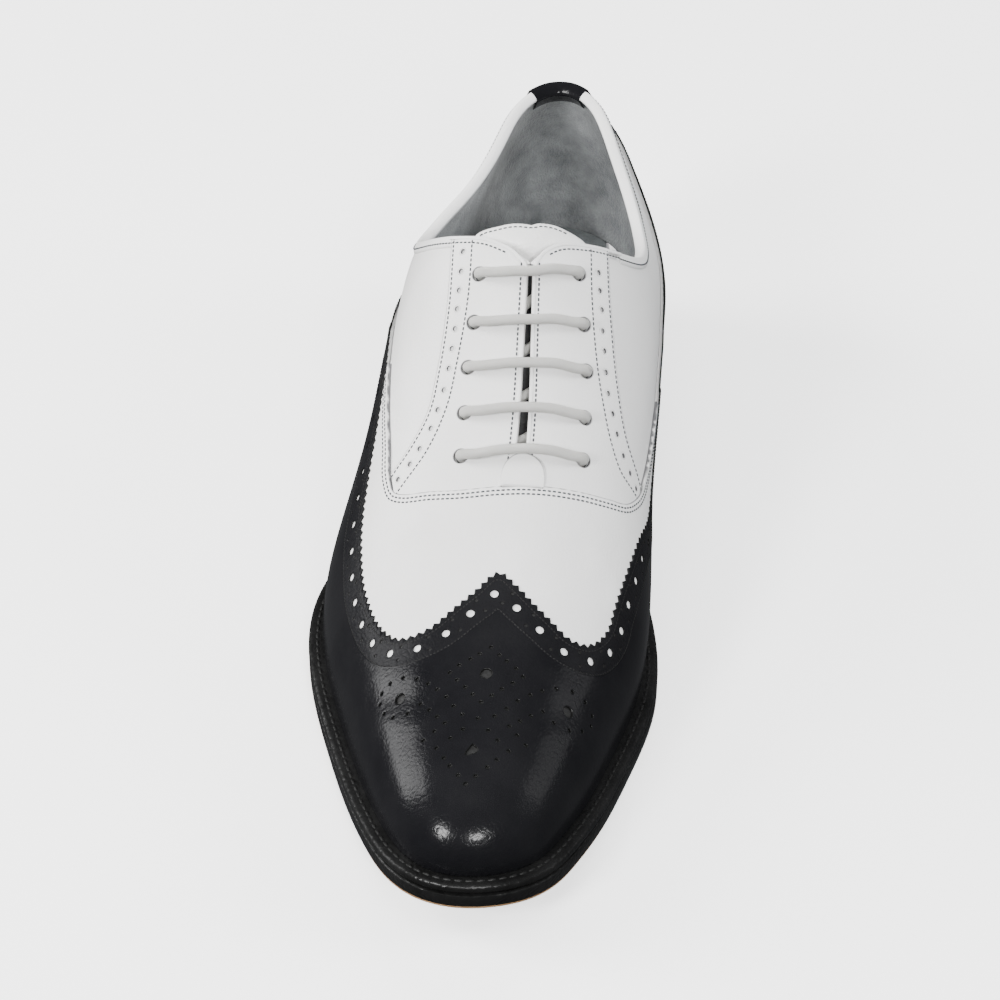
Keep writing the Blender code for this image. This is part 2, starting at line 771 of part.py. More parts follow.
def heel_loop(inset, height):
    """Outline of the heel under the seat, from the breast round the back, then across."""
    breast = SOLE_LENGTH / 2 - HEEL_LENGTH
    outline = ring(lambda y: welt_reach(y) - inset, bottom)
    half = len(outline) // 2
    lateral = outline[:half]
    medial = np.roll(outline[::-1], 1, axis=0)[:half]
    sides = []
    for edge in (lateral, medial):
        reach = np.concatenate([[0.0], np.cumsum(np.hypot(*np.diff(edge[:, :2], axis=0).T))])
        end = np.interp(-breast, -edge[:, 1], reach)
        places = end * np.linspace(0, 1, HEEL_STEPS)
        x = np.interp(places, reach, edge[:, 0])
        y = np.interp(places, reach, edge[:, 1])
        sides.append(np.stack([x, y, height(y)], 1))
    left, right = sides
    share = np.linspace(0, 1, 5)[1:-1, None]
    front = left[-1] + (right[-1] - left[-1]) * share
    front[:, 1] += HEEL_BREAST_CURVE * np.sin(np.pi * share[:, 0])
    front[:, 2] = height(front[:, 1])
    return np.concatenate([left, front, right[:0:-1]])


def heel_block(name, low_inset, low, high_inset, high, mat):
    rings = [heel_loop(low_inset, low), heel_loop(high_inset, high)]
    count = len(rings[0])
    verts = np.concatenate(rings)
    faces = [(i, (i + 1) % count, count + (i + 1) % count, count + i) for i in range(count)]
    for start in (0, count):
        for i in range(HEEL_STEPS - 1):
            a, b = i, i + 1
            c, d = (count - i - 1) % count, (count - i) % count
            strip = list(dict.fromkeys([a, b, c, d]))
            faces.append(tuple(start + k for k in strip))
        faces.append(tuple(start + k for k in range(HEEL_STEPS - 1, count - HEEL_STEPS + 2)))
    return add_object(name, outward_mesh(name, verts, faces), mat)


def make_heel(stack_mat, rubber_mat):
    def floor(y):
        return 0 * y

    def piece_top(y):
        return 0 * y + TOP_PIECE_THICK

    def stack_low(y):
        return 0 * y + TOP_PIECE_THICK + GAP

    def stack_high(y):
        return bottom(y) - GAP

    heel_block("heel_stack", HEEL_TAPER, stack_low, 0.0, stack_high, stack_mat)
    heel_block("top_piece", HEEL_TAPER, floor, HEEL_TAPER, piece_top, rubber_mat)


def tongue_lift(along):
    """Below the lace as far as the last eyelets, then up to the upper's inner face."""
    deep = WALL + LACE_DIAMETER + 3 * LACE_CLEARANCE
    seat = WALL + GAP
    rising = ease((along - TONGUE_RISE_START) / (TONGUE_FOOT - TONGUE_RISE_START))
    return -(deep + (seat - deep) * rising)


def make_tongue(mat):
    outline = smooth_line(signed(TONGUE_OUTLINE) + [(TONGUE_OUTLINE[0][1], 0.0)], 2)[:-1]
    places = list(outline)
    edges = [(i, (i + 1) % len(outline)) for i in range(len(outline))]
    scaled = outline * CHART_SCALE
    low, high = outline[:, 1].min(), outline[:, 1].max()
    for u in np.linspace(TONGUE_TOP, TONGUE_FOOT, TONGUE_ROWS):
        for across in np.linspace(low, high, TONGUE_COLUMNS):
            place = np.array([[u, across]])
            near = np.hypot(*(scaled - place * CHART_SCALE).T).min()
            if inside(place, outline)[0] and near > NEAR_LINE * CHART_SCALE[1] / LEVELS:
                places.append(place[0])
    flat = [Vector(place * CHART_SCALE) for place in places]
    found = delaunay_2d_cdt(flat, edges, [], 1, 1e-7)
    verts = np.array([tuple(v) for v in found[0]]) / CHART_SCALE
    faces = np.array([tuple(face) for face in found[2]])
    return leather("tongue", verts, faces, tongue_lift(verts[:, 0]), -TONGUE_THICK, mat)


def make_back_strip(mat):
    """Strip at the heel's back, turned in over the top edge."""
    edge = COLLAR[0][1]
    along_speed, down = [np.linalg.norm(way) for way in speed(COLLAR[1][0] / 2, edge)]
    rim = STRIP_CLEARANCE / down
    thick = STRIP_THICK
    out = COUNTER_EDGE[0][1] - edge - 2 * SEAM_GAP / down
    turn = STRIP_TURN_IN / down
    outer = STRIP_CLEARANCE
    inner = -WALL - 2 * STRIP_CLEARANCE
    profile = [(edge + out, outer), (edge - rim, outer), (edge - rim, inner), (edge + turn, inner),
               (edge + turn, inner - thick), (edge, inner - thick),
               (edge - rim - thick / down, inner - thick * 0.4),
               (edge - rim - thick / down, outer + thick * 0.4),
               (edge, outer + thick), (edge + out, outer + thick)]
    reach = STRIP_HALF_WIDTH / along_speed
    rings = []
    for place in np.linspace(-reach, reach, STRIP_COLUMNS):
        side = -1 if place <= 0 else 1
        u = abs(place)
        collar = column_line(COLLAR, side, 4)
        shift = np.interp(u, collar[:, 0], np.abs(collar[:, 1])) - edge
        rows = [point(u, side * (across + shift), lift) for across, lift in profile]
        rings.append(np.array(rows))
    count = len(profile)
    verts = np.concatenate(rings)
    faces = []
    for band in range(len(rings) - 1):
        for i in range(count):
            j = (i + 1) % count
            low, high = band * count, (band + 1) * count
            faces.append((low + i, low + j, high + j, high + i))
    faces.append(tuple(range(count)))
    faces.append(tuple(range((len(rings) - 1) * count, len(rings) * count)))
    return add_object("back_strip", outward_mesh("back_strip", verts, faces), mat)


def lace_route():
    """Chart places and lifts that the lace passes: bars on top, slanting runs below."""
    radius = LACE_DIAMETER / 2
    over = GAP + EYESTAY_THICK + radius + LACE_CLEARANCE
    under = -(WALL + radius + LACE_CLEARANCE)
    lateral = [np.array([row[0], -row[1]]) for row in EYELETS]
    medial = [np.array([row[2], row[3]]) for row in EYELETS]
    last = len(EYELETS) - 1
    route = []

    def through(place, towards):
        """A smooth bend from the bar down into the eyelet and out below."""
        shifts = around(*place, [(0.0, towards * row[0]) for row in LACE_BEND])
        rows = []
        for shift, (_, above, below) in zip(shifts, LACE_BEND):
            lift = over + above if above is not None else under + below if below else 0.0
            rows.append((*shift, lift))
        return rows

    def run(start, end, shares, level, arch=0.0):
        for share in shares:
            place = start + (end - start) * share
            route.append((*place, level + arch * np.sin(np.pi * share)))

    for i in range(last + 1):
        left, right = lateral[i], medial[i]
        route += through(left, 1)[::-1]
        start = around(*left, [(0.0, BAR_START)])[0]
        end = around(*right, [(0.0, -BAR_START)])[0]
        arch = CROWDED_BAR_ARCH if i in (0, last) else BAR_ARCH
        run(start, end, (0.0, 0.25, 0.5, 0.75, 1.0), over, arch)
        if i < last:
            route += through(right, -1)
            next_start = around(*lateral[i + 1], [(0.0, BAR_START)])[0]
            run(end, next_start, (0.0, 0.5, 1.0), under)
    # From the last eyelet the end goes back up beside the medial row, to the top eyelet.
    route += through(medial[last], -1)[:-1] + through(medial[last], 1)[-1:]
    beside = [around(*place, [(0.0, LACE_END_SHIFT)])[0] for place in medial[::-1]]
    for place in beside:
        route.append((*place, under))
    return route


def make_lace(mat):
    places = np.array([point(*row) for row in lace_route()])
    curve = bpy.data.curves.new("lace", "CURVE")
    curve.dimensions = "3D"
    curve.bevel_depth = LACE_DIAMETER / 2
    curve.bevel_resolution = 2
    curve.use_fill_caps = True
    spline = curve.splines.new("POLY")
    spline.points.add(len(places) - 1)
    for spot, place in zip(spline.points, places):
        spot.co = (*place, 1.0)
    curve.materials.append(mat)
    lace = bpy.data.objects.new("lace", curve)
    SHOE.objects.link(lace)
    return lace


for old in list(bpy.data.objects):
    bpy.data.objects.remove(old, do_unlink=True)
SHOE = bpy.data.collections.new("spectator_shoe")
bpy.context.scene.collection.children.link(SHOE)

WHITE = material("white_leather", (0.80, 0.79, 0.77), 0.38)
BLACK = material("black_leather", (0.010, 0.010, 0.011), 0.16)
LINING = material("tongue_leather", (0.78, 0.77, 0.74), 0.45)
BOARD = material("insole_board", (0.42, 0.36, 0.28), 0.70)
EDGE = material("sole_edge", (0.012, 0.011, 0.011), 0.30)
SOLE = material("sole_leather", (0.50, 0.32, 0.17), 0.50)
RUBBER = material("heel_rubber", (0.015, 0.015, 0.015), 0.60)
COTTON = material("lace_cotton", (0.78, 0.75, 0.68), 0.75)

SHEET, FACES, MIDDLES = cut_sheet()


def cut(*outlines):
    keep = np.zeros(len(FACES), bool)
    for outline in outlines:
        keep |= inside(MIDDLES, outline)
    return FACES[keep]


leather("upper", SHEET, FACES, 0.0, -WALL, WHITE)
leather("vamp", SHEET, cut(vamp_outline()), GAP, VAMP_THICK, WHITE)
leather("eyestay_lateral", SHEET, cut(eyestay_outline(-1)), GAP, EYESTAY_THICK, WHITE)
leather("eyestay_medial", SHEET, cut(eyestay_outline(1)), GAP, EYESTAY_THICK, WHITE)
leather("throat_tab", SHEET, cut(tab_outline()), 2 * GAP + EYESTAY_THICK, TAB_THICK, WHITE)
leather("wing_cap", SHEET, cut(wing_outline()), GAP, WING_THICK, BLACK)
leather("heel_counter", SHEET, cut(*counter_outlines()), GAP, COUNTER_THICK, BLACK)
make_back_strip(BLACK)
make_tongue(LINING)
make_insole(BOARD)
make_welt(EDGE)
make_outsole(SOLE)
make_heel(EDGE, RUBBER)
make_lace(COTTON)
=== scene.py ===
import math
import bmesh
import bpy
import numpy as np
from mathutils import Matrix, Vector, kdtree
from mathutils.geometry import delaunay_2d_cdt


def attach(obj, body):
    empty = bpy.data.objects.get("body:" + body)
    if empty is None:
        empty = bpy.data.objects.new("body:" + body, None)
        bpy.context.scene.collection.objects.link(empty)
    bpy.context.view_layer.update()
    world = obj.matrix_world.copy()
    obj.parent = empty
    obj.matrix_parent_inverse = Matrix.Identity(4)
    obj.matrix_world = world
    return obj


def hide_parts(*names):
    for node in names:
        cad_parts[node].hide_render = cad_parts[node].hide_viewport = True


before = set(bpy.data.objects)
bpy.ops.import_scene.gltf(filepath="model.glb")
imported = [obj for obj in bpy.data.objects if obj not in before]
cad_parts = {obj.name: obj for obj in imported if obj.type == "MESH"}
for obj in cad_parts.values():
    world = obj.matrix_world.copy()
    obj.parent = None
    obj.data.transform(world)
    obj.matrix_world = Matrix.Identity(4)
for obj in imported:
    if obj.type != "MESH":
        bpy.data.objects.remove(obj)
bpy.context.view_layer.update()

# Right spectator shoe. Metres, toe towards -Y, inner (medial) side towards +X, floor at z = 0.
mm = 0.001

# The last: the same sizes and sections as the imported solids.
last = dict(
    upperLength=0.2914, ballWidth=0.094, instepHeight=0.097, heelRise=0.024, toeSpring=0.012,
    outsoleThick=0.0055, weltThick=0.0035, weltFront=0.0065, weltBack=0.0022, gap=0.0003,
    treadBack=0.584, treadFront=0.752, seatFront=0.203, waistStart=0.366, waistEnd=0.610,
    toeCurve=1.75, wall=0.0022, waistSeam=0.400, throatTop=0.429, throatEnd=0.5975,
    throatGapTop=0.0018, throatGapFoot=0.0034,
    columns=("back", "lateral", "medial", "crest", "crestX", "crestUp", "rise",
             "bulgeLateral", "bulgeMedial", "leanLateral", "leanMedial"),
    sections=(
        (0.00, 0.000, 0.000, 0.240, 0.000, 0.906, 0.660, 0.066, 0.066, 0.720, 0.720),
        (0.02, 0.168, 0.168, 0.245, 0.000, 0.902, 0.560, 0.046, 0.066, 0.650, 0.700),
        (0.07, 0.259, 0.288, 0.260, 0.000, 0.895, 0.360, 0.047, 0.096, 0.620, 0.570),
        (0.16, 0.321, 0.356, 0.300, 0.000, 0.904, 0.280, 0.068, 0.154, 0.715, 0.510),
        (0.28, 0.385, 0.345, 0.360, 0.004, 0.952, 0.380, 0.144, 0.234, 0.910, 0.665),
        (0.40, 0.426, 0.332, 0.435, 0.023, 1.001, 0.480, 0.120, 0.277, 0.895, 0.770),
        (0.51, 0.500, 0.362, 0.520, 0.040, 0.848, 0.495, 0.072, 0.218, 0.740, 0.770),
        (0.61, 0.564, 0.428, 0.610, 0.049, 0.659, 0.505, 0.028, 0.117, 0.620, 0.715),
        (0.70, 0.527, 0.450, 0.690, 0.030, 0.506, 0.527, 0.015, 0.051, 0.606, 0.650),
        (0.79, 0.430, 0.397, 0.765, 0.018, 0.411, 0.560, 0.011, 0.020, 0.610, 0.622),
        (0.87, 0.331, 0.334, 0.825, 0.014, 0.350, 0.593, 0.011, 0.011, 0.617, 0.617),
        (0.93, 0.243, 0.269, 0.865, 0.011, 0.308, 0.614, 0.011, 0.011, 0.620, 0.620),
        (0.98, 0.138, 0.173, 0.890, 0.010, 0.284, 0.622, 0.011, 0.011, 0.620, 0.620),
        (1.00, -0.003, 0.003, 0.900, 0.010, 0.273, 0.624, 0.011, 0.011, 0.620, 0.620),
    ))

# Lines on the last. along: 0 at the heel's back, 1 at the toe; across: 0 on the ridge,
# -1 on the outer feather line, +1 on the inner one.
collarLine = (  # along, lateral across, medial across
    (0.000, 0.481, 0.481), (0.050, 0.462, 0.457), (0.080, 0.447, 0.443), (0.120, 0.448, 0.452),
    (0.160, 0.472, 0.478), (0.200, 0.498, 0.503), (0.240, 0.519, 0.521), (0.280, 0.536, 0.529),
    (0.320, 0.512, 0.496), (0.360, 0.429, 0.408), (0.380, 0.352, 0.328), (0.399, 0.230, 0.200),
    (0.408, 0.120, 0.105), (0.416, 0.052, 0.052))
counterLine = (  # along, lateral across, medial across
    (0.000, 0.600, 0.600), (0.050, 0.580, 0.580), (0.090, 0.560, 0.560), (0.120, 0.570, 0.570),
    (0.150, 0.605, 0.610), (0.200, 0.665, 0.680), (0.260, 0.700, 0.728), (0.320, 0.700, 0.750),
    (0.370, 0.660, 0.758), (0.400, 0.621, 0.757))
wingLine = (  # along, across
    (0.400, -0.621), (0.450, -0.566), (0.500, -0.548), (0.566, -0.541), (0.634, -0.546),
    (0.700, -0.519), (0.736, -0.466), (0.755, -0.400), (0.757, -0.233), (0.742, -0.149),
    (0.7255, -0.076), (0.705, 0.000), (0.714, 0.065), (0.728, 0.157), (0.7385, 0.258),
    (0.7445, 0.343), (0.735, 0.463), (0.707, 0.525), (0.684, 0.520), (0.635, 0.549),
    (0.604, 0.587), (0.568, 0.660), (0.500, 0.720), (0.450, 0.745), (0.400, 0.757))
vampLine = (  # along, across
    (0.462, -0.545), (0.500, -0.507), (0.555, -0.453), (0.590, -0.428), (0.606, -0.400),
    (0.612, -0.360), (0.618, -0.270), (0.623, -0.161), (0.622, -0.042), (0.618, 0.092),
    (0.6105, 0.251), (0.600, 0.390), (0.590, 0.476), (0.571, 0.549), (0.522, 0.638),
    (0.452, 0.712), (0.425, 0.732))
eyelets = (  # lateral along, across, medial along, across
    (0.442, 0.145, 0.431, 0.198), (0.482, 0.155, 0.472, 0.228), (0.518, 0.167, 0.508, 0.248),
    (0.556, 0.171, 0.547, 0.249), (0.593, 0.173, 0.583, 0.252))


def ease(x):
    x = np.clip(x, 0.0, 1.0)
    return x ** 3 * (x * (6 * x - 15) + 10)


soleLength = last["upperLength"] + last["weltBack"] + last["weltFront"]
backY = soleLength / 2 - last["weltBack"]
axisX = (max(row[1] for row in last["sections"]) - max(row[2] for row in last["sections"])) / 2


def soleShare(y):
    return (soleLength / 2 - y) / soleLength


def soleBottom(y):  # raised seat, flat tread, toe spring
    share = soleShare(y)
    heel = last["heelRise"] * ease((last["treadBack"] - share)
                                   / (last["treadBack"] - last["seatFront"]))
    front = np.clip((share - last["treadFront"]) / (1 - last["treadFront"]), 0.0, None)
    return heel + last["toeSpring"] * front ** last["toeCurve"]


def outsoleTop(y):
    return soleBottom(y) + last["outsoleThick"]


def featherHeight(y):
    return outsoleTop(y) + last["weltThick"] + 2 * last["gap"]


def closedCurve(knots, values):  # smooth closed cubic through the values, over 0 to 1
    count = len(values)
    span = np.diff(knots)
    matrix = np.zeros((count, count))
    right = np.zeros_like(values)
    for i in range(count):
        ahead = (i + 1) % count
        matrix[i, i - 1] += span[i - 1]
        matrix[i, i] += 2 * (span[i - 1] + span[i])
        matrix[i, ahead] += span[i]
        right[i] = 6 * ((values[ahead] - values[i]) / span[i]
                        - (values[i] - values[i - 1]) / span[i - 1])
    bend = np.linalg.solve(matrix, right)

    def curve(t):
        t = np.mod(t, 1.0)
        i = np.clip(np.searchsorted(knots, t, side="right") - 1, 0, count - 1)
        j = (i + 1) % count
        a = (t - knots[i])[..., None]
        b = (knots[i + 1] - t)[..., None]
        h = span[i][..., None]
        return ((bend[i] * b ** 3 + bend[j] * a ** 3) / (6 * h)
                + (values[i] / h - bend[i] * h / 6) * b
                + (values[j] / h - bend[j] * h / 6) * a)

    return curve


def lastCurves():  # feather line, wall, shoulder and ridge: each section is their arch
    column = dict(zip(last["columns"], np.array(last["sections"]).T))
    width, count = last["ballWidth"], len(last["sections"])
    y = backY - column["back"] * last["upperLength"]
    crestY = backY - column["crest"] * last["upperLength"]
    crestZ = featherHeight(crestY) + column["crestUp"] * last["instepHeight"]
    slope = np.gradient(crestZ, crestY)
    slope[:3] = 0.0
    lateral = (axisX - column["lateral"]) * width
    medial = (axisX + column["medial"]) * width
    half = 0.5 * (np.hypot(np.diff(lateral), np.diff(y)) + np.hypot(np.diff(medial), np.diff(y)))
    knots = np.concatenate([[0.0], np.cumsum(half)])
    knots = np.concatenate([knots, knots[-1] + np.cumsum(half[::-1])])
    knots /= knots[-1]
    medialRows = list(range(count - 2, 0, -1))

    def both(onLateral, onMedial):
        return np.concatenate([onLateral, onMedial[medialRows]])

    footY = both(y, y)
    foot = np.stack([both(lateral, medial), footY, featherHeight(footY)], 1)
    crestX = (axisX + column["crestX"]) * width
    crest = np.stack([both(crestX, crestX), both(crestY, crestY), both(crestZ, crestZ)], 1)
    outline = closedCurve(knots, foot)
    step = 1e-4
    forward = (outline(knots[:-1] + step) - outline(knots[:-1] - step))[:, :2]
    outward = np.stack([-forward[:, 1], forward[:, 0]], 1)
    outward /= np.linalg.norm(outward, axis=1)[:, None]
    outward *= np.sign(((foot - crest)[:, :2] * outward).sum(1))[:, None]
    bulge = both(column["bulgeLateral"], column["bulgeMedial"]) * width
    rise = both(column["rise"], column["rise"])
    lean = both(column["leanLateral"], column["leanMedial"])
    wall = foot.copy()
    wall[:, :2] += outward * bulge[:, None]
    wall[:, 2] += rise * (crest[:, 2] - foot[:, 2])
    spread = (foot - crest)[:, :2] * lean[:, None]
    shoulder = crest.copy()
    shoulder[:, :2] += spread
    shoulder[:, 2] += both(slope, slope) * spread[:, 1]
    return [closedCurve(knots, points) for points in (foot, wall, shoulder, crest)]


footCurve, wallCurve, shoulderCurve, crestCurve = lastCurves()


def surface(t, v):  # t round the feather line, v from it (0) up to the ridge (1)
    v = v[..., None]
    w = 1 - v
    return (w ** 3 * footCurve(t) + 3 * w * w * v * wallCurve(t)
            + 3 * w * v * v * shoulderCurve(t) + v ** 3 * crestCurve(t))


# Soft troughs (positive depth) and ridges, in the shoe's own sizes.
creases = (  # along, across at one end; along, across at the other; half width, depth
    (0.668, -0.34, 0.662, 0.30, 0.0036, 0.00022),
    (0.690, -0.50, 0.700, -0.16, 0.0030, 0.00020),
    (0.676, 0.44, 0.696, 0.14, 0.0030, 0.00020),
    (0.640, -0.30, 0.636, 0.34, 0.0050, -0.00018),
    (0.800, -0.62, 0.842, -0.30, 0.0040, 0.00016),
    (0.795, 0.62, 0.838, 0.34, 0.0040, 0.00016),
    (0.500, -0.36, 0.440, -0.40, 0.0050, 0.00018),
    (0.470, 0.46, 0.420, 0.50, 0.0050, 0.00018),
    (0.300, -0.66, 0.240, -0.60, 0.0060, 0.00020),
    (0.300, 0.66, 0.240, 0.62, 0.0060, 0.00020),
)


def chartTv(along, across):
    along, across = np.broadcast_arrays(np.asarray(along, float), np.asarray(across, float))
    return np.stack([np.where(across <= 0, along / 2, 1 - along / 2), 1 - np.abs(across)], -1)


# The flattened pattern: a plane sheet on which every piece is cut. Its Y follows the shoe's
# own, its X is stretched so that the sides have room.
pattern = dict(stretch=1.8, rays=1500, block=1500)
cutting = dict(quickSpacing=1.7, rowShare=0.87, leastRim=0.0006, mitre=0.94)
stretch = np.array([pattern["stretch"], 1.0])
rayT = (np.arange(pattern["rays"]) + 0.5) / pattern["rays"]
rayStart = crestCurve(rayT)[:, :2] * stretch
rayReach = footCurve(rayT)[:, :2] * stretch - rayStart


def toPattern(tv):
    t, v = tv[:, 0], tv[:, 1]
    crest = crestCurve(t)[:, :2]
    return (crest + (footCurve(t)[:, :2] - crest) * (1 - v)[:, None]) * stretch


def fromPattern(flat):
    out = np.empty_like(flat)
    square = (rayReach ** 2).sum(1)
    for start in range(0, len(flat), pattern["block"]):
        gap = flat[start:start + pattern["block"], None] - rayStart[None]
        cross = gap[..., 0] * rayReach[:, 1] - gap[..., 1] * rayReach[:, 0]
        share = (gap * rayReach).sum(-1) / square
        ahead = np.roll(cross, -1, 1)
        shareAhead = np.roll(share, -1, 1)
        between = (share + shareAhead) / 2
        hit = (cross * ahead <= 0) & (between > -0.002) & (between < 1.2)
        score = np.where(hit, np.abs(between - 0.5), 9.0)
        i = score.argmin(1)
        rows = np.arange(len(i))
        span = cross[rows, i] - ahead[rows, i]
        part = cross[rows, i] / np.where(np.abs(span) < 1e-15, 1e-15, span)
        reach = share[rows, i] + (shareAhead[rows, i] - share[rows, i]) * part
        out[start:start + len(i), 0] = np.mod(rayT[i] + part / pattern["rays"], 1.0)
        out[start:start + len(i), 1] = 1 - np.clip(reach, 0.0, None)
    return out


def outwardAt(tv):
    step = 2e-4
    t, v = tv[:, 0], np.clip(tv[:, 1], -0.2, 1 - 2 * step)
    out = np.cross(surface(t + step, v) - surface(t - step, v),
                   surface(t, v + step) - surface(t, v - step))
    return out / np.linalg.norm(out, axis=-1)[:, None]


def placeTv(tv, lift=0.0):
    lift = np.broadcast_to(np.asarray(lift, float), tv.shape[:1])
    return surface(tv[:, 0], tv[:, 1]) + outwardAt(tv) * lift[:, None]


def place(flat, lift=0.0):
    return placeTv(fromPattern(flat), lift)


creaseEnds = []
for row in creases:
    ends = toPattern(chartTv([row[0], row[2]], [row[1], row[3]]))
    creaseEnds.append((ends[0], ends[1], row[4], row[5]))


def relief(flat):  # how far the leather stands off the last where it has been flexed
    total = np.zeros(len(flat))
    for start, end, width, depth in creaseEnds:
        run = end - start
        share = ((flat - start) @ run) / (run @ run)
        near = start + run * np.clip(share, 0, 1)[:, None]
        gap = np.linalg.norm(flat - near, axis=1) / width
        total -= depth * (np.exp(-gap ** 2) - 0.5 * np.exp(-((gap - 1.7) / 0.8) ** 2))
    return total


def hermite(s, h, start, startSlope, end, endSlope):  # cubic over a step of length h
    return ((1 + 2 * s) * (1 - s) ** 2 * start + s * (1 - s) ** 2 * h * startSlope
            + s * s * (3 - 2 * s) * end + s * s * (s - 1) * h * endSlope)


def smoothLine(points, steps=14):  # curve through places of along, across, on the pattern
    points = np.asarray(points, float)
    scale = np.array([last["upperLength"] * 1.33, last["instepHeight"]])
    reach = np.concatenate([[0.0], np.cumsum(np.hypot(*(np.diff(points, axis=0) * scale).T))])
    slope = np.gradient(points, reach, axis=0)
    line = []
    for i in range(len(points) - 1):
        line += [hermite(s, reach[i + 1] - reach[i], points[i], slope[i], points[i + 1],
                         slope[i + 1]) for s in np.arange(steps) / steps]
    line = np.array(line + [points[-1]])
    return toPattern(chartTv(line[:, 0], line[:, 1]))


def sideLine(rows, side, steps=14):
    pick = 1 if side < 0 else 2
    return smoothLine([(row[0], side * row[pick]) for row in rows], steps)


def roundHeel(rows, steps=14):  # from the lateral end back round the heel to the medial end
    return np.concatenate([sideLine(rows, -1, steps)[::-1], sideLine(rows, 1, steps)[1:]])


def featherLine(first, end, count):  # first and end as t
    t = np.linspace(first, end, count)
    return toPattern(np.stack([t, np.zeros(count)], 1))


def stepsOf(flat):  # place, and metres of surface for each metre of pattern, both ways
    h = 2e-4
    at = place(flat)
    return at, (place(flat + [h, 0]) - at) / h, (place(flat + [0, h]) - at) / h


def patternMoves(flat, moves):  # pattern steps that make the given moves on the surface
    at, alongX, alongY = stepsOf(flat)
    xx, xy, yy = (alongX ** 2).sum(1), (alongX * alongY).sum(1), (alongY ** 2).sum(1)
    rightX, rightY = (alongX * moves).sum(1), (alongY * moves).sum(1)
    det = xx * yy - xy ** 2
    return np.stack([(rightX * yy - rightY * xy) / det, (rightY * xx - rightX * xy) / det], 1)


def tangents(flat, closed=False):
    points = place(flat)
    if closed:
        way = np.roll(points, -1, 0) - np.roll(points, 1, 0)
    else:
        way = np.gradient(points, axis=0)
    return way / np.linalg.norm(way, axis=1)[:, None]


def aside(flat, distance, closed=False):  # moved to the left by metres on the surface
    way = tangents(flat, closed)
    left = np.cross(outwardAt(fromPattern(flat)), way)
    moves = left * np.broadcast_to(np.asarray(distance, float), (len(flat),))[:, None]
    return flat + patternMoves(flat, moves)


def lengths(points):
    return np.concatenate([[0.0], np.cumsum(np.linalg.norm(np.diff(points, axis=0), axis=1))])


def walk(flat, pitch=None, count=None, start=0.0, end=0.0):
    reach = lengths(place(flat))
    run = reach[-1] - start - end
    count = count or max(2, int(round(run / pitch)) + 1)
    stops = np.linspace(start, reach[-1] - end, count)
    return np.stack([np.interp(stops, reach, flat[:, 0]), np.interp(stops, reach, flat[:, 1])], 1)


def mitred(flat, distance, step=0.002):  # like aside, with sharp corners kept clean
    line = walk(flat, step)
    moved = aside(line, distance)
    gap = nearest(place(moved), densePoints(line))
    return moved[gap > abs(distance) * cutting["mitre"]]


def pinked(flat, pitch, depth):  # toothed edge along a line
    points = walk(flat, pitch / 2)
    shift = np.where(np.arange(len(points)) % 2 == 0, -depth / 2, depth / 2)
    shift[[0, -1]] = 0.0
    return aside(points, shift)


def circles(centres, radius, sides=12):  # round holes on the surface, on the pattern
    centres = np.atleast_2d(centres)
    at, alongX, alongY = stepsOf(centres)
    normal = outwardAt(fromPattern(centres))
    firstWay = alongY / np.linalg.norm(alongY, axis=1)[:, None]
    secondWay = np.cross(normal, firstWay)
    corners = []
    for angle in 2 * np.pi * np.arange(sides) / sides:
        moves = (firstWay * math.cos(angle) + secondWay * math.sin(angle)) * radius
        corners.append(centres + patternMoves(centres, moves))
    return list(np.array(corners).transpose(1, 0, 2))


def inside(places, polygon):
    x, y = places[:, 0], places[:, 1]
    found = np.zeros(len(places), bool)
    ends = np.roll(polygon, -1, axis=0)
    box = (x >= polygon[:, 0].min()) & (x <= polygon[:, 0].max())
    box &= (y >= polygon[:, 1].min()) & (y <= polygon[:, 1].max())
    which = np.nonzero(box)[0]
    x, y = x[which], y[which]
    part = np.zeros(len(which), bool)
    for (x0, y0), (x1, y1) in zip(polygon, ends):
        if y0 == y1:
            continue
        crosses = (y0 > y) != (y1 > y)
        part ^= crosses & (x < x0 + (y - y0) * (x1 - x0) / (y1 - y0))
    found[which] = part
    return found


def nearest(points, targets):  # distance from each point to the nearest target
    tree = kdtree.KDTree(len(targets))
    for i, target in enumerate(targets):
        tree.insert(target, i)
    tree.balance()
    return np.array([tree.find(point)[2] for point in points])


def flat3(flat):
    return np.concatenate([flat, np.zeros((len(flat), 1))], 1)


def dress(name, mesh, material, smoothAngle):  # an object of the mesh, smooth up to the angle
    mesh.materials.append(material)
    mesh.shade_smooth()
    mesh.set_sharp_from_angle(angle=math.radians(smoothAngle))
    piece = bpy.data.objects.new(name, mesh)
    bpy.context.scene.collection.objects.link(piece)
    return piece


def addMesh(name, verts, faces, material, smoothAngle=50, marks=None):
    mesh = bpy.data.meshes.new(name)
    mesh.from_pydata([tuple(v) for v in verts], [], [tuple(f) for f in faces])
    piece = dress(name, mesh, material, smoothAngle)
    for label, values in (marks or {}).items():
        layer = mesh.attributes.new(label, "FLOAT", "POINT")
        layer.data.foreach_set("value", np.asarray(values, np.float32))
    mesh.validate()
    return piece


def solidMesh(name, verts, faces, material, smoothAngle, weld=0.0):
    build = bmesh.new()
    made = [build.verts.new(v) for v in verts]
    for face in faces:
        build.faces.new([made[i] for i in face])
    if weld:
        bmesh.ops.remove_doubles(build, verts=build.verts, dist=weld)
    bmesh.ops.recalc_face_normals(build, faces=build.faces)
    mesh = bpy.data.meshes.new(name)
    build.to_mesh(mesh)
    build.free()
    return dress(name, mesh, material, smoothAngle)


def bandFaces(low, high, count):  # quads between two closed rows of points
    return [(low + i, low + (i + 1) % count, high + (i + 1) % count, high + i)
            for i in range(count)]


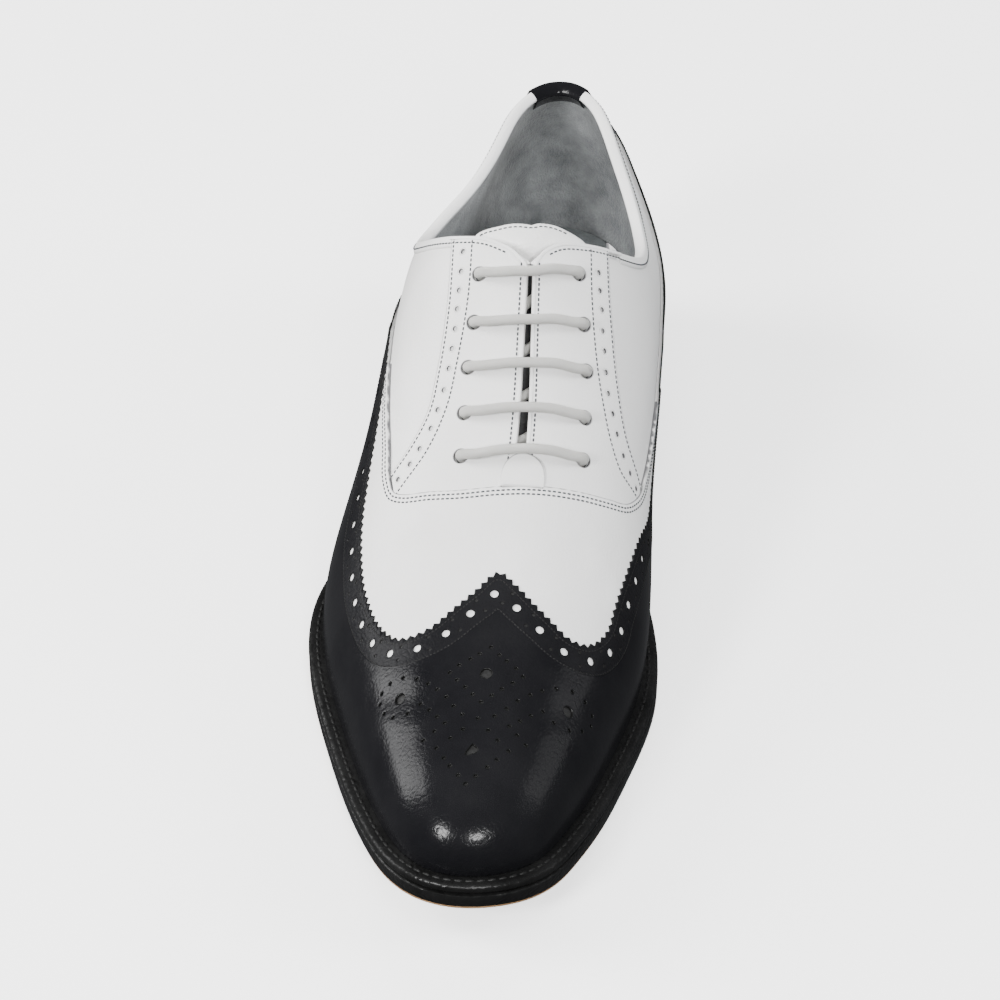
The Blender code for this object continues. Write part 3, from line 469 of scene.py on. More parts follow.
def finishPiece(piece, slot, *nodes):
    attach(piece, "root")
    if nodes:
        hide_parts(*nodes)
    print("made", piece.name, len(piece.data.polygons), "faces")
    return piece


def cutPiece(name, outline, holes, edges, top, base, roundness, spacing, material, marks=None,
             flexed=True):
    # A closed piece of leather on the last: its top, its under side and its cut edges.
    loops = [outline] + list(holes)
    spacing = spacing * 1.0
    loopPoints = np.concatenate(loops)
    low, high = outline.min(0), outline.max(0)
    columns = np.arange(low[0], high[0], spacing)
    rows = np.arange(low[1], high[1], spacing * cutting["rowShare"])
    grid = np.array([(x + (spacing / 2 if j % 2 else 0.0), y)
                     for j, y in enumerate(rows) for x in columns])
    rim = []
    for loop in loops:
        for reach in (roundness * 0.4, roundness, max(roundness * 2.4, cutting["leastRim"])):
            rim += [aside(loop, reach, True), aside(loop, -reach, True)]
    rim = np.concatenate(rim)
    rim = rim[nearest(flat3(rim), flat3(loopPoints)) > roundness * 0.3]
    grid = grid[nearest(flat3(grid), flat3(loopPoints)) > spacing * 0.5 + roundness]
    loose = np.concatenate([grid, rim])
    keep = inside(loose, outline)
    for hole in holes:
        keep &= ~inside(loose, hole)
    points = np.concatenate([loopPoints, loose[keep]])
    joins = []
    start = 0
    for loop in loops:
        joins += [(start + i, start + (i + 1) % len(loop)) for i in range(len(loop))]
        start += len(loop)
    found = delaunay_2d_cdt([Vector(p) for p in points], joins, [], 0, 1e-8)
    flat = np.array([tuple(v) for v in found[0]])
    faces = np.array([tuple(face) for face in found[2]])
    middles = flat[faces].mean(1)
    kept = inside(middles, outline)
    for hole in holes:
        kept &= ~inside(middles, hole)
    faces = faces[kept]
    used, faces = np.unique(faces, return_inverse=True)
    faces = faces.reshape(-1, 3)
    flat = flat[used]
    tv = fromPattern(flat)
    at = placeTv(tv)
    normal = outwardAt(tv)
    if len(edges):
        edgeAndShadeGap = nearest(at, np.concatenate([place(edge) for edge in edges]))
        share = np.clip(edgeAndShadeGap / roundness, 0, 1)
        drop = roundness * (1 - np.sqrt(1 - (1 - share) ** 2))
    else:
        edgeAndShadeGap = np.full(len(at), 1.0)
        drop = 0.0
    bend = relief(flat) if flexed else 0.0
    markGaps = {label: nearest(at, place(line)) for label, line in (marks or {}).items()}
    floor = base(markGaps) if callable(base) else base
    roof = top(flat) if callable(top) else top
    topPoints = at + normal * np.broadcast_to(roof - drop + bend, (len(at),))[:, None]
    basePoints = at + normal * np.broadcast_to(floor + bend, (len(at),))[:, None]
    corner = topPoints[faces]
    faceNormal = np.cross(corner[:, 1] - corner[:, 0], corner[:, 2] - corner[:, 0])
    if (faceNormal * normal[faces[:, 0]]).sum() < 0:
        faces = faces[:, ::-1]
    sides = np.concatenate([faces[:, [0, 1]], faces[:, [1, 2]], faces[:, [2, 0]]])
    known = set(map(tuple, sides))
    count = len(at)
    walls = [(b, a, a + count, b + count) for a, b in known if (b, a) not in known]
    allFaces = [tuple(f) for f in faces] + [tuple(f + count) for f in faces[:, ::-1]] + walls
    values = {"edgeAndShadeGap": np.concatenate([edgeAndShadeGap, edgeAndShadeGap * 0])}
    for label, gap in markGaps.items():
        values[label] = np.concatenate([gap, gap])
    return addMesh(name, np.concatenate([topPoints, basePoints]), allFaces, material, 50, values)


def sweep(name, rows, material, closed=False, smoothAngle=50):
    # Skin over rows of points: each row is a closed section.
    rows = np.asarray(rows)
    number, count = rows.shape[:2]
    faces = []
    for band in range(number if closed else number - 1):
        low, high = band * count, (band + 1) % number * count
        faces += bandFaces(low, high, count)
    if not closed:
        faces.append(tuple(range(count))[::-1])
        faces.append(tuple(range((number - 1) * count, number * count)))
    whole = np.full(number * count, 1.0)
    piece = addMesh(name, rows.reshape(-1, 3), faces, material, smoothAngle,
                    {"edgeAndShadeGap": whole, "band": whole})
    build = bmesh.new()
    build.from_mesh(piece.data)
    bmesh.ops.remove_doubles(build, verts=build.verts, dist=1e-6)
    bmesh.ops.recalc_face_normals(build, faces=build.faces)
    build.to_mesh(piece.data)
    build.free()
    return piece


# Materials

def fill(tree, made, inputs):  # an input is a value or the socket it reads
    for key, value in inputs.items():
        if isinstance(value, bpy.types.NodeSocket):
            tree.links.new(value, made.inputs[key])
        else:
            made.inputs[key].default_value = value


def node(tree, kind, inputs=None, **settings):
    made = tree.nodes.new(kind)
    for key, value in settings.items():
        setattr(made, key, value)
    fill(tree, made, inputs or {})
    return made


def newMaterial(name):
    mat = bpy.data.materials.new(name)
    mat.use_nodes = True
    tree = mat.node_tree
    return mat, tree, tree.nodes["Principled BSDF"]


def objectPlace(tree):
    return tree.nodes.new("ShaderNodeTexCoord").outputs["Object"]


def newGroup(name, inputs, outputs, kind="ShaderNodeTree"):
    tree = bpy.data.node_groups.new(name, kind)
    for label, socketKind, *value in inputs:
        socket = tree.interface.new_socket(name=label, in_out="INPUT", socket_type=socketKind)
        if value:
            socket.default_value = value[0]
    for label, socketKind in outputs:
        tree.interface.new_socket(name=label, in_out="OUTPUT", socket_type=socketKind)
    return tree, tree.nodes.new("NodeGroupInput"), tree.nodes.new("NodeGroupOutput")


def makeGrainGroup():  # pores and fine lines of leather
    tree, given, out = newGroup("leatherGrain", [
        ("Vector", "NodeSocketVector", (0, 0, 0)), ("Pore Scale", "NodeSocketFloat", 900.0),
        ("Line Scale", "NodeSocketFloat", 260.0), ("Line Amount", "NodeSocketFloat", 0.4)],
        [("Height", "NodeSocketFloat"), ("Tone", "NodeSocketFloat")])
    where = given.outputs["Vector"]
    pores = node(tree, "ShaderNodeTexVoronoi", {
        "Vector": where, "Scale": given.outputs["Pore Scale"]}, feature="F1")
    lines = node(tree, "ShaderNodeTexVoronoi", {
        "Vector": where, "Scale": given.outputs["Line Scale"]}, feature="DISTANCE_TO_EDGE")
    flatten = node(tree, "ShaderNodeMapRange", {
        "Value": lines.outputs["Distance"], "From Min": 0.0, "From Max": 0.16})
    cloud = node(tree, "ShaderNodeTexNoise", {
        "Vector": where, "Scale": 60.0, "Detail": 5.0, "Roughness": 0.6})
    weigh = node(tree, "ShaderNodeMath", {
        0: flatten.outputs["Result"], 1: given.outputs["Line Amount"]}, operation="MULTIPLY")
    total = node(tree, "ShaderNodeMath", {
        0: pores.outputs["Distance"], 1: weigh.outputs[0]}, operation="ADD")
    rough = node(tree, "ShaderNodeMath", {
        0: cloud.outputs["Fac"], 1: 0.9, 2: total.outputs[0]}, operation="MULTIPLY_ADD")
    fill(tree, out, {"Height": rough.outputs[0], "Tone": cloud.outputs["Fac"]})
    return tree


def makeToneGroup():  # slow drift between two colours
    tree, given, out = newGroup("toneDrift", [
        ("Vector", "NodeSocketVector", (0, 0, 0)), ("Light", "NodeSocketColor", (1, 1, 1, 1)),
        ("Dark", "NodeSocketColor", (0, 0, 0, 1)), ("Scale", "NodeSocketFloat", 20.0),
        ("Low", "NodeSocketFloat", 0.35), ("High", "NodeSocketFloat", 0.65)],
        [("Color", "NodeSocketColor"), ("Mask", "NodeSocketFloat")])
    cloud = node(tree, "ShaderNodeTexNoise", {
        "Vector": given.outputs["Vector"], "Scale": given.outputs["Scale"], "Detail": 6.0,
        "Roughness": 0.62})
    spread = node(tree, "ShaderNodeMapRange", {
        "Value": cloud.outputs["Fac"], "From Min": given.outputs["Low"],
        "From Max": given.outputs["High"]})
    mix = node(tree, "ShaderNodeMix", {
        "Factor": spread.outputs["Result"], 6: given.outputs["Dark"],
        7: given.outputs["Light"]}, data_type="RGBA")
    fill(tree, out, {"Color": mix.outputs[2], "Mask": spread.outputs["Result"]})
    return tree


grainGroup = makeGrainGroup()
toneGroup = makeToneGroup()


def driftOf(tree, where, light, dark, scale):
    return node(tree, "ShaderNodeGroup", {
        "Vector": where, "Light": (*light, 1), "Dark": (*dark, 1), "Scale": scale},
        node_tree=toneGroup).outputs["Color"]


def nearMask(tree, label, low, high):  # 1 below the low value of an attribute, 0 above the high
    gap = node(tree, "ShaderNodeAttribute", attribute_name=label)
    return node(tree, "ShaderNodeMapRange", {
        "Value": gap.outputs["Fac"], "From Min": low, "From Max": high, "To Min": 1.0,
        "To Max": 0.0}).outputs["Result"]


def leatherLook(name, look):
    # look: light, dark, toneScale, roughness, roughSpread, coat, coatRough, grain settings
    mat, tree, shader = newMaterial(name)
    where = objectPlace(tree)
    grain = node(tree, "ShaderNodeGroup", {
        "Vector": where, "Pore Scale": look["poreScale"], "Line Scale": look["lineScale"],
        "Line Amount": look["lineAmount"]}, node_tree=grainGroup)
    color = driftOf(tree, where, look["light"], look["dark"], look["toneScale"])
    roughness = node(tree, "ShaderNodeMapRange", {
        "Value": grain.outputs["Tone"], "To Min": look["roughness"] - look["roughSpread"],
        "To Max": look["roughness"] + look["roughSpread"]}).outputs["Result"]
    height = grain.outputs["Height"]
    coat = look.get("coat", 0.0)
    if "edge" in look:  # the cut edge, where the leather's core shows; on the tongue this colour is painted shade under the facings
        mask = nearMask(tree, "edgeAndShadeGap", look["edgeAndShadeWidth"] * 0.25, look["edgeAndShadeWidth"])
        color = node(tree, "ShaderNodeMix", {
            "Factor": mask, 6: color, 7: (*look["edge"], 1)}, data_type="RGBA").outputs[2]
    if "band" in look:  # the pinked and punched band is duller and coarser than the rest
        mask = nearMask(tree, "band", look["band"] - 0.0002, look["band"] + 0.0004)
        roughness = node(tree, "ShaderNodeMix", {
            "Factor": mask, 2: roughness, 3: look["bandRoughness"]}, data_type="FLOAT").outputs[0]
        lift = node(tree, "ShaderNodeMath", {
            0: mask, 1: look["bandGrain"], 2: 1.0}, operation="MULTIPLY_ADD")
        height = node(tree, "ShaderNodeMath", {
            0: lift.outputs[0], 1: height}, operation="MULTIPLY").outputs[0]
        coat = node(tree, "ShaderNodeMapRange", {
            "Value": mask, "To Min": coat, "To Max": look["bandCoat"]}).outputs["Result"]
    bump = node(tree, "ShaderNodeBump", {
        "Strength": look["bump"], "Distance": look["bumpDepth"], "Height": height})
    fill(tree, shader, {
        "Base Color": color, "Roughness": roughness, "Normal": bump.outputs["Normal"],
        "Coat Weight": coat, "Coat Roughness": look.get("coatRough", 0.1),
        "Specular IOR Level": look.get("specular", 0.5), "Sheen Weight": look.get("sheen", 0.0)})
    return mat


whiteLeather = leatherLook("whiteCalf", dict(
    light=(0.86, 0.855, 0.85), dark=(0.80, 0.795, 0.785), toneScale=14.0, roughness=0.40,
    roughSpread=0.06, coat=0.12, coatRough=0.28, poreScale=1500.0, lineScale=420.0,
    lineAmount=0.35, bump=0.25, bumpDepth=0.0003, edge=(0.12, 0.12, 0.125),
    edgeAndShadeWidth=0.00045))
blackLeather = leatherLook("blackCalf", dict(
    light=(0.009, 0.009, 0.010), dark=(0.005, 0.005, 0.006), toneScale=30.0, roughness=0.22,
    roughSpread=0.05, coat=0.04, coatRough=0.08, specular=0.15, poreScale=900.0, lineScale=520.0,
    lineAmount=0.5, bump=0.12, bumpDepth=0.0003, edge=(0.008, 0.008, 0.008), edgeAndShadeWidth=0.00035,
    band=0.0088, bandRoughness=0.42, bandGrain=3.0, bandCoat=0.03))
liningLook = leatherLook("liningSuede", dict(
    light=(0.335, 0.345, 0.352), dark=(0.175, 0.183, 0.188), toneScale=70.0, roughness=0.85,
    roughSpread=0.05, sheen=0.25, poreScale=1300.0, lineScale=300.0, lineAmount=0.3,
    bump=0.5, bumpDepth=0.0006, specular=0.2))
# its edge colour is painted shade, laid where the tongue lies under the facings
tongueLook = leatherLook("tongueCalf", dict(
    light=(0.84, 0.835, 0.82), dark=(0.77, 0.765, 0.75), toneScale=25.0, roughness=0.45,
    roughSpread=0.05, coat=0.05, poreScale=1400.0, lineScale=380.0, lineAmount=0.5,
    bump=0.3, bumpDepth=0.0003, edge=(0.05, 0.05, 0.052), edgeAndShadeWidth=0.0005))
sockLook = leatherLook("sockLeather", dict(
    light=(0.33, 0.35, 0.355), dark=(0.20, 0.215, 0.22), toneScale=40.0, roughness=0.75,
    roughSpread=0.06, poreScale=1100.0, lineScale=260.0, lineAmount=0.5, bump=0.35,
    bumpDepth=0.0004, specular=0.25))
weltLook = leatherLook("weltLeather", dict(
    light=(0.010, 0.010, 0.010), dark=(0.005, 0.005, 0.005), toneScale=60.0, roughness=0.36,
    roughSpread=0.08, coat=0.06, coatRough=0.25, specular=0.24, poreScale=700.0, lineScale=240.0,
    lineAmount=0.7, bump=0.35, bumpDepth=0.0004))
soleLook = leatherLook("soleLeather", dict(
    light=(0.55, 0.34, 0.18), dark=(0.42, 0.25, 0.13), toneScale=35.0, roughness=0.50,
    roughSpread=0.08, poreScale=800.0, lineScale=180.0, lineAmount=0.5, bump=0.3,
    bumpDepth=0.0004))
rubberLook = leatherLook("heelRubber", dict(
    light=(0.020, 0.020, 0.020), dark=(0.012, 0.012, 0.012), toneScale=60.0, roughness=0.60,
    roughSpread=0.05, poreScale=900.0, lineScale=300.0, lineAmount=0.2, bump=0.3,
    bumpDepth=0.0004))


def threadLook(name, color, roughness):
    mat, tree, shader = newMaterial(name)
    fill(tree, shader, {
        "Base Color": driftOf(tree, objectPlace(tree), color, [c * 0.8 for c in color], 500.0),
        "Roughness": roughness, "Specular IOR Level": 0.25})
    return mat


greyThread = threadLook("greyThread", (0.075, 0.078, 0.085), 0.75)
blackThread = threadLook("blackThread", (0.012, 0.012, 0.012), 0.5)


def laceLook():  # round waxed cotton: a fine braid over the cord's own UV map
    mat, tree, shader = newMaterial("waxedCotton")
    uv = node(tree, "ShaderNodeUVMap", uv_map="braid")
    waves = []
    for lean in (1.0, -1.0):
        turn = node(tree, "ShaderNodeMapping", {
            "Vector": uv.outputs["UV"], "Rotation": (0, 0, lean * math.radians(38))},
            vector_type="POINT")
        waves.append(node(tree, "ShaderNodeTexWave", {
            "Vector": turn.outputs["Vector"], "Scale": 2.4, "Distortion": 0.6, "Detail": 1.0},
            wave_type="BANDS"))
    braid = node(tree, "ShaderNodeMath", {
        0: waves[0].outputs["Fac"], 1: waves[1].outputs["Fac"]}, operation="MAXIMUM").outputs[0]
    tone = driftOf(tree, objectPlace(tree), (0.98, 0.97, 0.93), (0.94, 0.93, 0.88), 260.0)
    shade = node(tree, "ShaderNodeMix", {"Factor": 0.04, 6: tone, 7: braid},
                 data_type="RGBA", blend_type="MULTIPLY")
    bump = node(tree, "ShaderNodeBump", {"Strength": 0.9, "Distance": 0.0004, "Height": braid})
    fill(tree, shader, {"Base Color": shade.outputs[2], "Roughness": 0.62, "Sheen Weight": 0.2,
                        "Normal": bump.outputs["Normal"]})
    return mat


laceCotton = laceLook()
print("materials ready")

# Lines that more than one piece uses
stays = dict(top=0.0009, edgeRound=0.00035)
vampSizes = dict(top=0.0012, edgeRound=0.0004)
pinking = dict(pitch=0.0026, depth=0.0011)
bandSizes = dict(hole=0.00125, inset=0.0047, pitch=0.0090, inner=0.0088, dot=0.00042,
                 spread=0.0021, edge=0.0094, firstRow=0.0018, backingEnd=0.0092)
blackSizes = dict(wingTop=0.0017, counterTop=0.0014, edgeRound=0.00022)

collarBack = roundHeel(collarLine)  # lateral throat corner round the heel to the medial one
wingEdge = smoothLine(wingLine)
counterEdge = roundHeel(counterLine)
vampEdge = smoothLine(vampLine)
lateralTail = last["waistSeam"] / 2
medialTail = 1 - last["waistSeam"] / 2


def throatLine(side, first, end, count):
    along = np.linspace(first, end, count)
    at = chartTv(along, np.full(count, side * 0.01))
    step = np.linalg.norm(placeTv(at) - placeTv(chartTv(along, np.zeros(count))), axis=1)
    share = np.clip((along - last["throatTop"]) / (last["throatEnd"] - last["throatTop"]), 0, 1)
    gap = last["throatGapTop"] + (last["throatGapFoot"] - last["throatGapTop"]) * share
    return toPattern(chartTv(along, side * 0.01 * gap / 2 / step))


eyeletPlaces = toPattern(np.concatenate(
    [chartTv([row[0], row[2]], [-row[1], row[3]]) for row in eyelets]))
eyeletHoles = circles(eyeletPlaces, 0.0021, 20)
throatLateral = throatLine(-1, last["throatTop"], last["throatEnd"], 40)
throatMedial = throatLine(1, last["throatTop"], last["throatEnd"], 40)
print("lines laid out")


def loopOf(*parts, pitch=0.0011):  # joins lines into one closed loop with even steps
    loop = []
    for part in parts:
        points = part if pitch is None else walk(part, pitch)
        for point in points:
            if not loop or np.hypot(*(point - loop[-1])) > 1e-5:
                loop.append(point)
    if np.hypot(*(loop[0] - loop[-1])) < 1e-5:
        loop.pop()
    return np.array(loop)


def densePoints(line, closed=False, step=0.0002):
    points = place(line)
    if closed:
        points = np.concatenate([points, points[:1]])
    reach = lengths(points)
    stops = np.linspace(0, reach[-1], max(2, int(reach[-1] / step)))
    return np.stack([np.interp(stops, reach, points[:, i]) for i in range(3)], 1)


# Quarters and lining: the whole body of the upper, open at the collar and the throat.
body = dict(shell=0.0011, liningTop=-0.00115, liningBase=-0.0022, spacing=0.0016,
            liningSpacing=0.0028)
featherLoop = featherLine(0.0, 1.0, 421)[:-1]
openingLoop = loopOf(collarBack[::-1], throatMedial, throatLateral[::-1])
quarters = cutPiece("quarters", featherLoop, [openingLoop] + eyeletHoles, [], 0.0,
                    -body["shell"], 0.0003, body["spacing"], whiteLeather)
finishPiece(quarters, "white_leather", "upper")
lining = cutPiece("lining", featherLoop, [openingLoop] + eyeletHoles, [], body["liningTop"],
                  body["liningBase"], 0.0003, body["liningSpacing"], liningLook)
finishPiece(lining, "lining_leather", "upper")

# Eyestays: from the throat out past the punched strip
stripHoles = dict(
    lateral=((.4176, -.2044), (.4363, -.2065), (.4526, -.2093), (.4679, -.2124), (.4837, -.2157),
             (.4991, -.2225), (.5148, -.2292), (.5318, -.2428), (.5472, -.2597), (.5614, -.2802),
             (.5758, -.3156), (.5859, -.349), (.5945, -.3927)),
    medial=((.3978, .2691), (.4189, .2772), (.4351, .2858), (.4502, .2992), (.4669, .3079),
            (.4816, .321), (.4973, .3335), (.5125, .3501), (.5256, .3772), (.5387, .4053),
            (.5506, .4473), (.5574, .4958), (.5619, .545)),
    radius=0.00088, clear=0.0018)
stripEdges = dict(
    outerLateral=((.3991, -.2418), (.466, -.2416), (.5124, -.2616), (.5509, -.2958),
                  (.5739, -.3588), (.5878, -.4198)),
    innerLateral=((.4043, -.1737), (.4632, -.178), (.5098, -.2019), (.549, -.2319),
                  (.5819, -.2928), (.6077, -.3953)),
    innerMedial=((.3839, .2358), (.4539, .2587), (.4919, .287), (.5243, .3271), (.5487, .3701),
                 (.5661, .4309), (.5689, .5582)),
    outerMedial=((.3715, .3021), (.435, .327), (.4731, .3608), (.5048, .3989), (.5337, .4596),
                 (.5536, .5832)))
outerLateral, innerLateral, innerMedial, outerMedial = [
    smoothLine(stripEdges[label])
    for label in ("outerLateral", "innerLateral", "innerMedial", "outerMedial")]
vampUnder = aside(walk(vampEdge, 0.002), -0.0030)  # eyestays run a little under the vamp


def alongOf(flat):
    t = fromPattern(flat)[:, 0]
    return np.where(t <= 0.5, 2 * t, 2 - 2 * t)


def acrossOf(flat):
    tv = fromPattern(flat)
    return np.where(tv[:, 0] <= 0.5, -1, 1) * (1 - tv[:, 1])


def makeEyestay(name, side, part):
    collar = sideLine(collarLine, side)
    outer = outerLateral if side < 0 else outerMedial
    outer = aside(walk(outer, 0.0011), side * 0.0011)  # the raised edge, outside the stitches
    collar = collar[alongOf(collar) > alongOf(outer[:1])[0] + 0.002]
    throat = throatLateral if side < 0 else throatMedial
    throat = np.concatenate([throat, throatLine(side, 0.602, 0.625, 8)])
    seam = vampUnder[acrossOf(vampUnder) * side > 0.012]
    seam = seam if side > 0 else seam[::-1]  # from the ridge outwards
    seam = seam[np.abs(acrossOf(seam)) < abs(acrossOf(outer[-1:])[0]) - 0.01]
    loop = loopOf(collar, throat, seam, outer[::-1])
    spots = stripHoles["lateral" if side < 0 else "medial"]
    centres = toPattern(chartTv([p[0] for p in spots], [p[1] for p in spots]))
    clear = nearest(flat3(centres), flat3(loop)) > stripHoles["clear"]
    centres = centres[inside(centres, loop) & clear]
    holes = circles(centres, stripHoles["radius"], 12)
    holes += [hole for hole, spot in zip(eyeletHoles, eyeletPlaces) if inside(spot[None], loop)[0]]
    piece = cutPiece(name, loop, holes, [loop] + holes, stays["top"], 0.00005,
                     stays["edgeRound"], 0.0013, whiteLeather)
    finishPiece(piece, "white_leather", part)
    return centres


lateralSpots = makeEyestay("eyestayLateral", -1, "eyestay_lateral")
medialSpots = makeEyestay("eyestayMedial", 1, "eyestay_medial")

# Vamp: over the quarters and the eyestays, under the wing
wingUnder = aside(walk(wingEdge, 0.002), -0.0016)
vampLoop = loopOf(vampEdge, wingUnder[::-1][(alongOf(wingUnder[::-1]) > 0.455)])
vamp = cutPiece("vampPiece", vampLoop, [], [vampEdge], vampSizes["top"], 0.0001,
                vampSizes["edgeRound"], 0.0015, whiteLeather)
finishPiece(vamp, "white_leather", "vamp")
print("white pieces cut")

# Wing cap: pinked edge, punched band, medallion
medallion = dict(
    centre=(0.0077, -0.09095), drift=0.00004, driftFrom=7.8, slant=0.045,
    bigRadius=0.0016, dotRadius=0.00052,
    dots=((0.0, 7.8), (2.6, 5.6), (4.9, 3.9), (7.8, 2.0), (10.0, -0.2), (7.6, -2.8), (4.9, -5.2),
          (2.5, -7.6), (0.0, -10.0), (4.3, -14.2), (7.2, -11.3), (9.7, -8.2), (12.7, -5.3),
          (15.6, -2.9), (19.0, -0.5), (23.2, 1.3), (26.8, 1.3), (29.0, -0.3), (29.0, -3.3),
          (27.0, -7.3), (23.9, -10.2), (19.8, -10.9), (16.7, -9.0), (13.8, -11.7), (11.2, -14.4),
          (8.7, -16.8), (11.1, -19.1), (13.7, -21.4), (0.0, -15.5), (3.3, -19.1), (6.3, -22.0),
          (9.6, -24.8), (7.0, -28.3), (5.0, -31.0), (2.3, -33.9), (0.0, -36.4)),
    bigDots=((0.0, -0.6), (23.0, -5.1), (0.0, -25.4)))


def fromAbove(spots):  # pattern places of spots given in plan, straight down onto the cap
    spots = np.asarray(spots, float)
    flat = spots * stretch
    for _ in range(12):
        flat = flat + (spots - place(flat)[:, :2]) * stretch
    return flat


def medallionPlaces(rows):  # rows of millimetres: aside from the middle line, back along it
    spots = []
    for half, back in rows:
        x = medallion["centre"][0] - medallion["drift"] * (medallion["driftFrom"] - back)
        y = medallion["centre"][1] + back * mm
        for side in ((-1, 1) if half else (1,)):
            # the right side stands a little further back, as the last does
            spots.append((x + side * half * mm, y + side * medallion["slant"] * half * mm))
    return fromAbove(spots)


def holeRow(line, inset, pitch, start=0.006, end=0.006):
    return walk(mitred(line, inset), pitch, start=start, end=end)


def bandPlaces(line, side=-1):  # big holes with a pair of dots between each two
    centres = holeRow(line, side * bandSizes["inset"], bandSizes["pitch"])
    between = walk(centres, count=2 * len(centres) - 1)[1::2]
    pairs = []
    for shift in (-bandSizes["spread"], bandSizes["spread"]):
        row = walk(mitred(line, side * (bandSizes["inset"] + shift), 0.0006), 0.0003)
        pairs += [row[np.argmin(np.hypot(*(row - spot).T))] for spot in between]
    return centres, np.array(pairs)


def waistSeam(start, end):  # where the wing's tail meets the counter
    return start + (end - start) * np.linspace(0, 1, 42)[1:-1, None]


print("wing")
wingFeather = featherLine(medialTail, lateralTail, 260)
wingLoop = loopOf(pinked(wingEdge, **pinking), waistSeam(wingEdge[-1], wingFeather[0]),
                  wingFeather, waistSeam(wingFeather[-1], wingEdge[0]), pitch=None)
bandHoles, bandDots = bandPlaces(wingEdge)
dotPlaces = medallionPlaces(medallion["dots"])
bigPlaces = medallionPlaces(medallion["bigDots"])
wingHoles = (circles(bandHoles, bandSizes["hole"], 14) + circles(bandDots, bandSizes["dot"], 8)
             + circles(dotPlaces, medallion["dotRadius"], 8)
             + circles(bigPlaces, medallion["bigRadius"], 16))
def bandBase(onBand, elsewhere):  # under side: the punched band lies on its own backing
    return lambda gaps: np.where(gaps["band"] < bandSizes["edge"], onBand, elsewhere)


wing = cutPiece("wingPiece", wingLoop, wingHoles, [wingLoop] + wingHoles, blackSizes["wingTop"],
                bandBase(0.00118, 0.00095), blackSizes["edgeRound"], 0.0014, blackLeather,
                {"band": walk(wingEdge, 0.0006)})
finishPiece(wing, "black_leather", "wing_cap")


def bandBacking(name, line, side, roof, part):
    near = walk(mitred(line, side * bandSizes["firstRow"]), 0.0015)
    far = walk(mitred(line, side * bandSizes["backingEnd"]), 0.0015)
    piece = cutPiece(name, loopOf(near, far[::-1], pitch=None), [], [], roof, 0.0001, 0.0002,
                     0.0025, whiteLeather)
    finishPiece(piece, "white_leather", part)


bandBacking("wingBacking", wingEdge, -1, 0.00115, "wing_cap")
capSizes = dict(inset=0.0098, along=0.735, lowAlong=0.76, share=0.12)
capLine = walk(mitred(wingEdge, -capSizes["inset"]), 0.0015)
capLine = capLine[alongOf(capLine) > capSizes["along"]]
capLow = featherLine(1 - capSizes["lowAlong"] / 2, capSizes["lowAlong"] / 2, 120)
capLow = capLow + (capLine.mean(0) - capLow) * capSizes["share"]
capBacking = cutPiece("capBacking", loopOf(capLine, capLow, pitch=None), [], [], 0.0009, 0.0002,
                      0.0002, 0.0025, rubberLook)
finishPiece(capBacking, "black_leather", "wing_cap")

# Heel counter
print("counter")
counterFeather = featherLine(medialTail, 1 + lateralTail, 200)
counterLoop = loopOf(pinked(counterEdge, **pinking), waistSeam(counterEdge[-1], counterFeather[0]),
                     counterFeather, waistSeam(counterFeather[-1], counterEdge[0]), pitch=None)
counterHoles, counterDots = bandPlaces(counterEdge, 1)
counterCuts = (circles(counterHoles, bandSizes["hole"], 14)
               + circles(counterDots, bandSizes["dot"], 8))
counter = cutPiece("counterPiece", counterLoop, counterCuts, [counterLoop] + counterCuts,
                   blackSizes["counterTop"], bandBase(0.00098, 0.0004), blackSizes["edgeRound"],
                   0.0015, blackLeather, {"band": walk(counterEdge, 0.0006)})
finishPiece(counter, "black_leather", "heel_counter")
bandBacking("counterBacking", counterEdge, 1, 0.00095, "heel_counter")

# Throat tab: the half round that closes the foot of the throat
tab = dict(along=0.6205, centre=0.019, halfWidth=0.0064, length=0.0098, tuck=0.0003, top=0.0018,
           base=0.00095)


def offsetsFrom(along, across, offsets):  # offsets in metres: along the shoe, across it
    spot = toPattern(chartTv([along], [across]))
    here, alongX, alongY = stepsOf(spot)
    forward = alongY[0] * -1 / np.linalg.norm(alongY[0])
    normal = outwardAt(fromPattern(spot))[0]
    sideways = np.cross(normal, forward)
    sideways *= np.sign(sideways[0])
    moves = np.array([forward * a + sideways * b for a, b in offsets])
    return spot + patternMoves(np.repeat(spot, len(moves), 0), moves)


straight = tab["length"] - tab["halfWidth"]
tabOffsets = [(tab["tuck"], -tab["halfWidth"])]
tabOffsets += [(-straight - tab["halfWidth"] * math.sin(a), -tab["halfWidth"] * math.cos(a))
               for a in np.linspace(0, np.pi, 25)]
tabOffsets += [(tab["tuck"], tab["halfWidth"])]
tabLoop = offsetsFrom(tab["along"], tab["centre"], tabOffsets)
throatTab = cutPiece("tabPiece", loopOf(tabLoop, tabLoop[:1], pitch=0.0008), [], [tabLoop],
                     tab["top"], tab["base"], 0.0003, 0.0012, whiteLeather)
finishPiece(throatTab, "white_leather", "throat_tab")

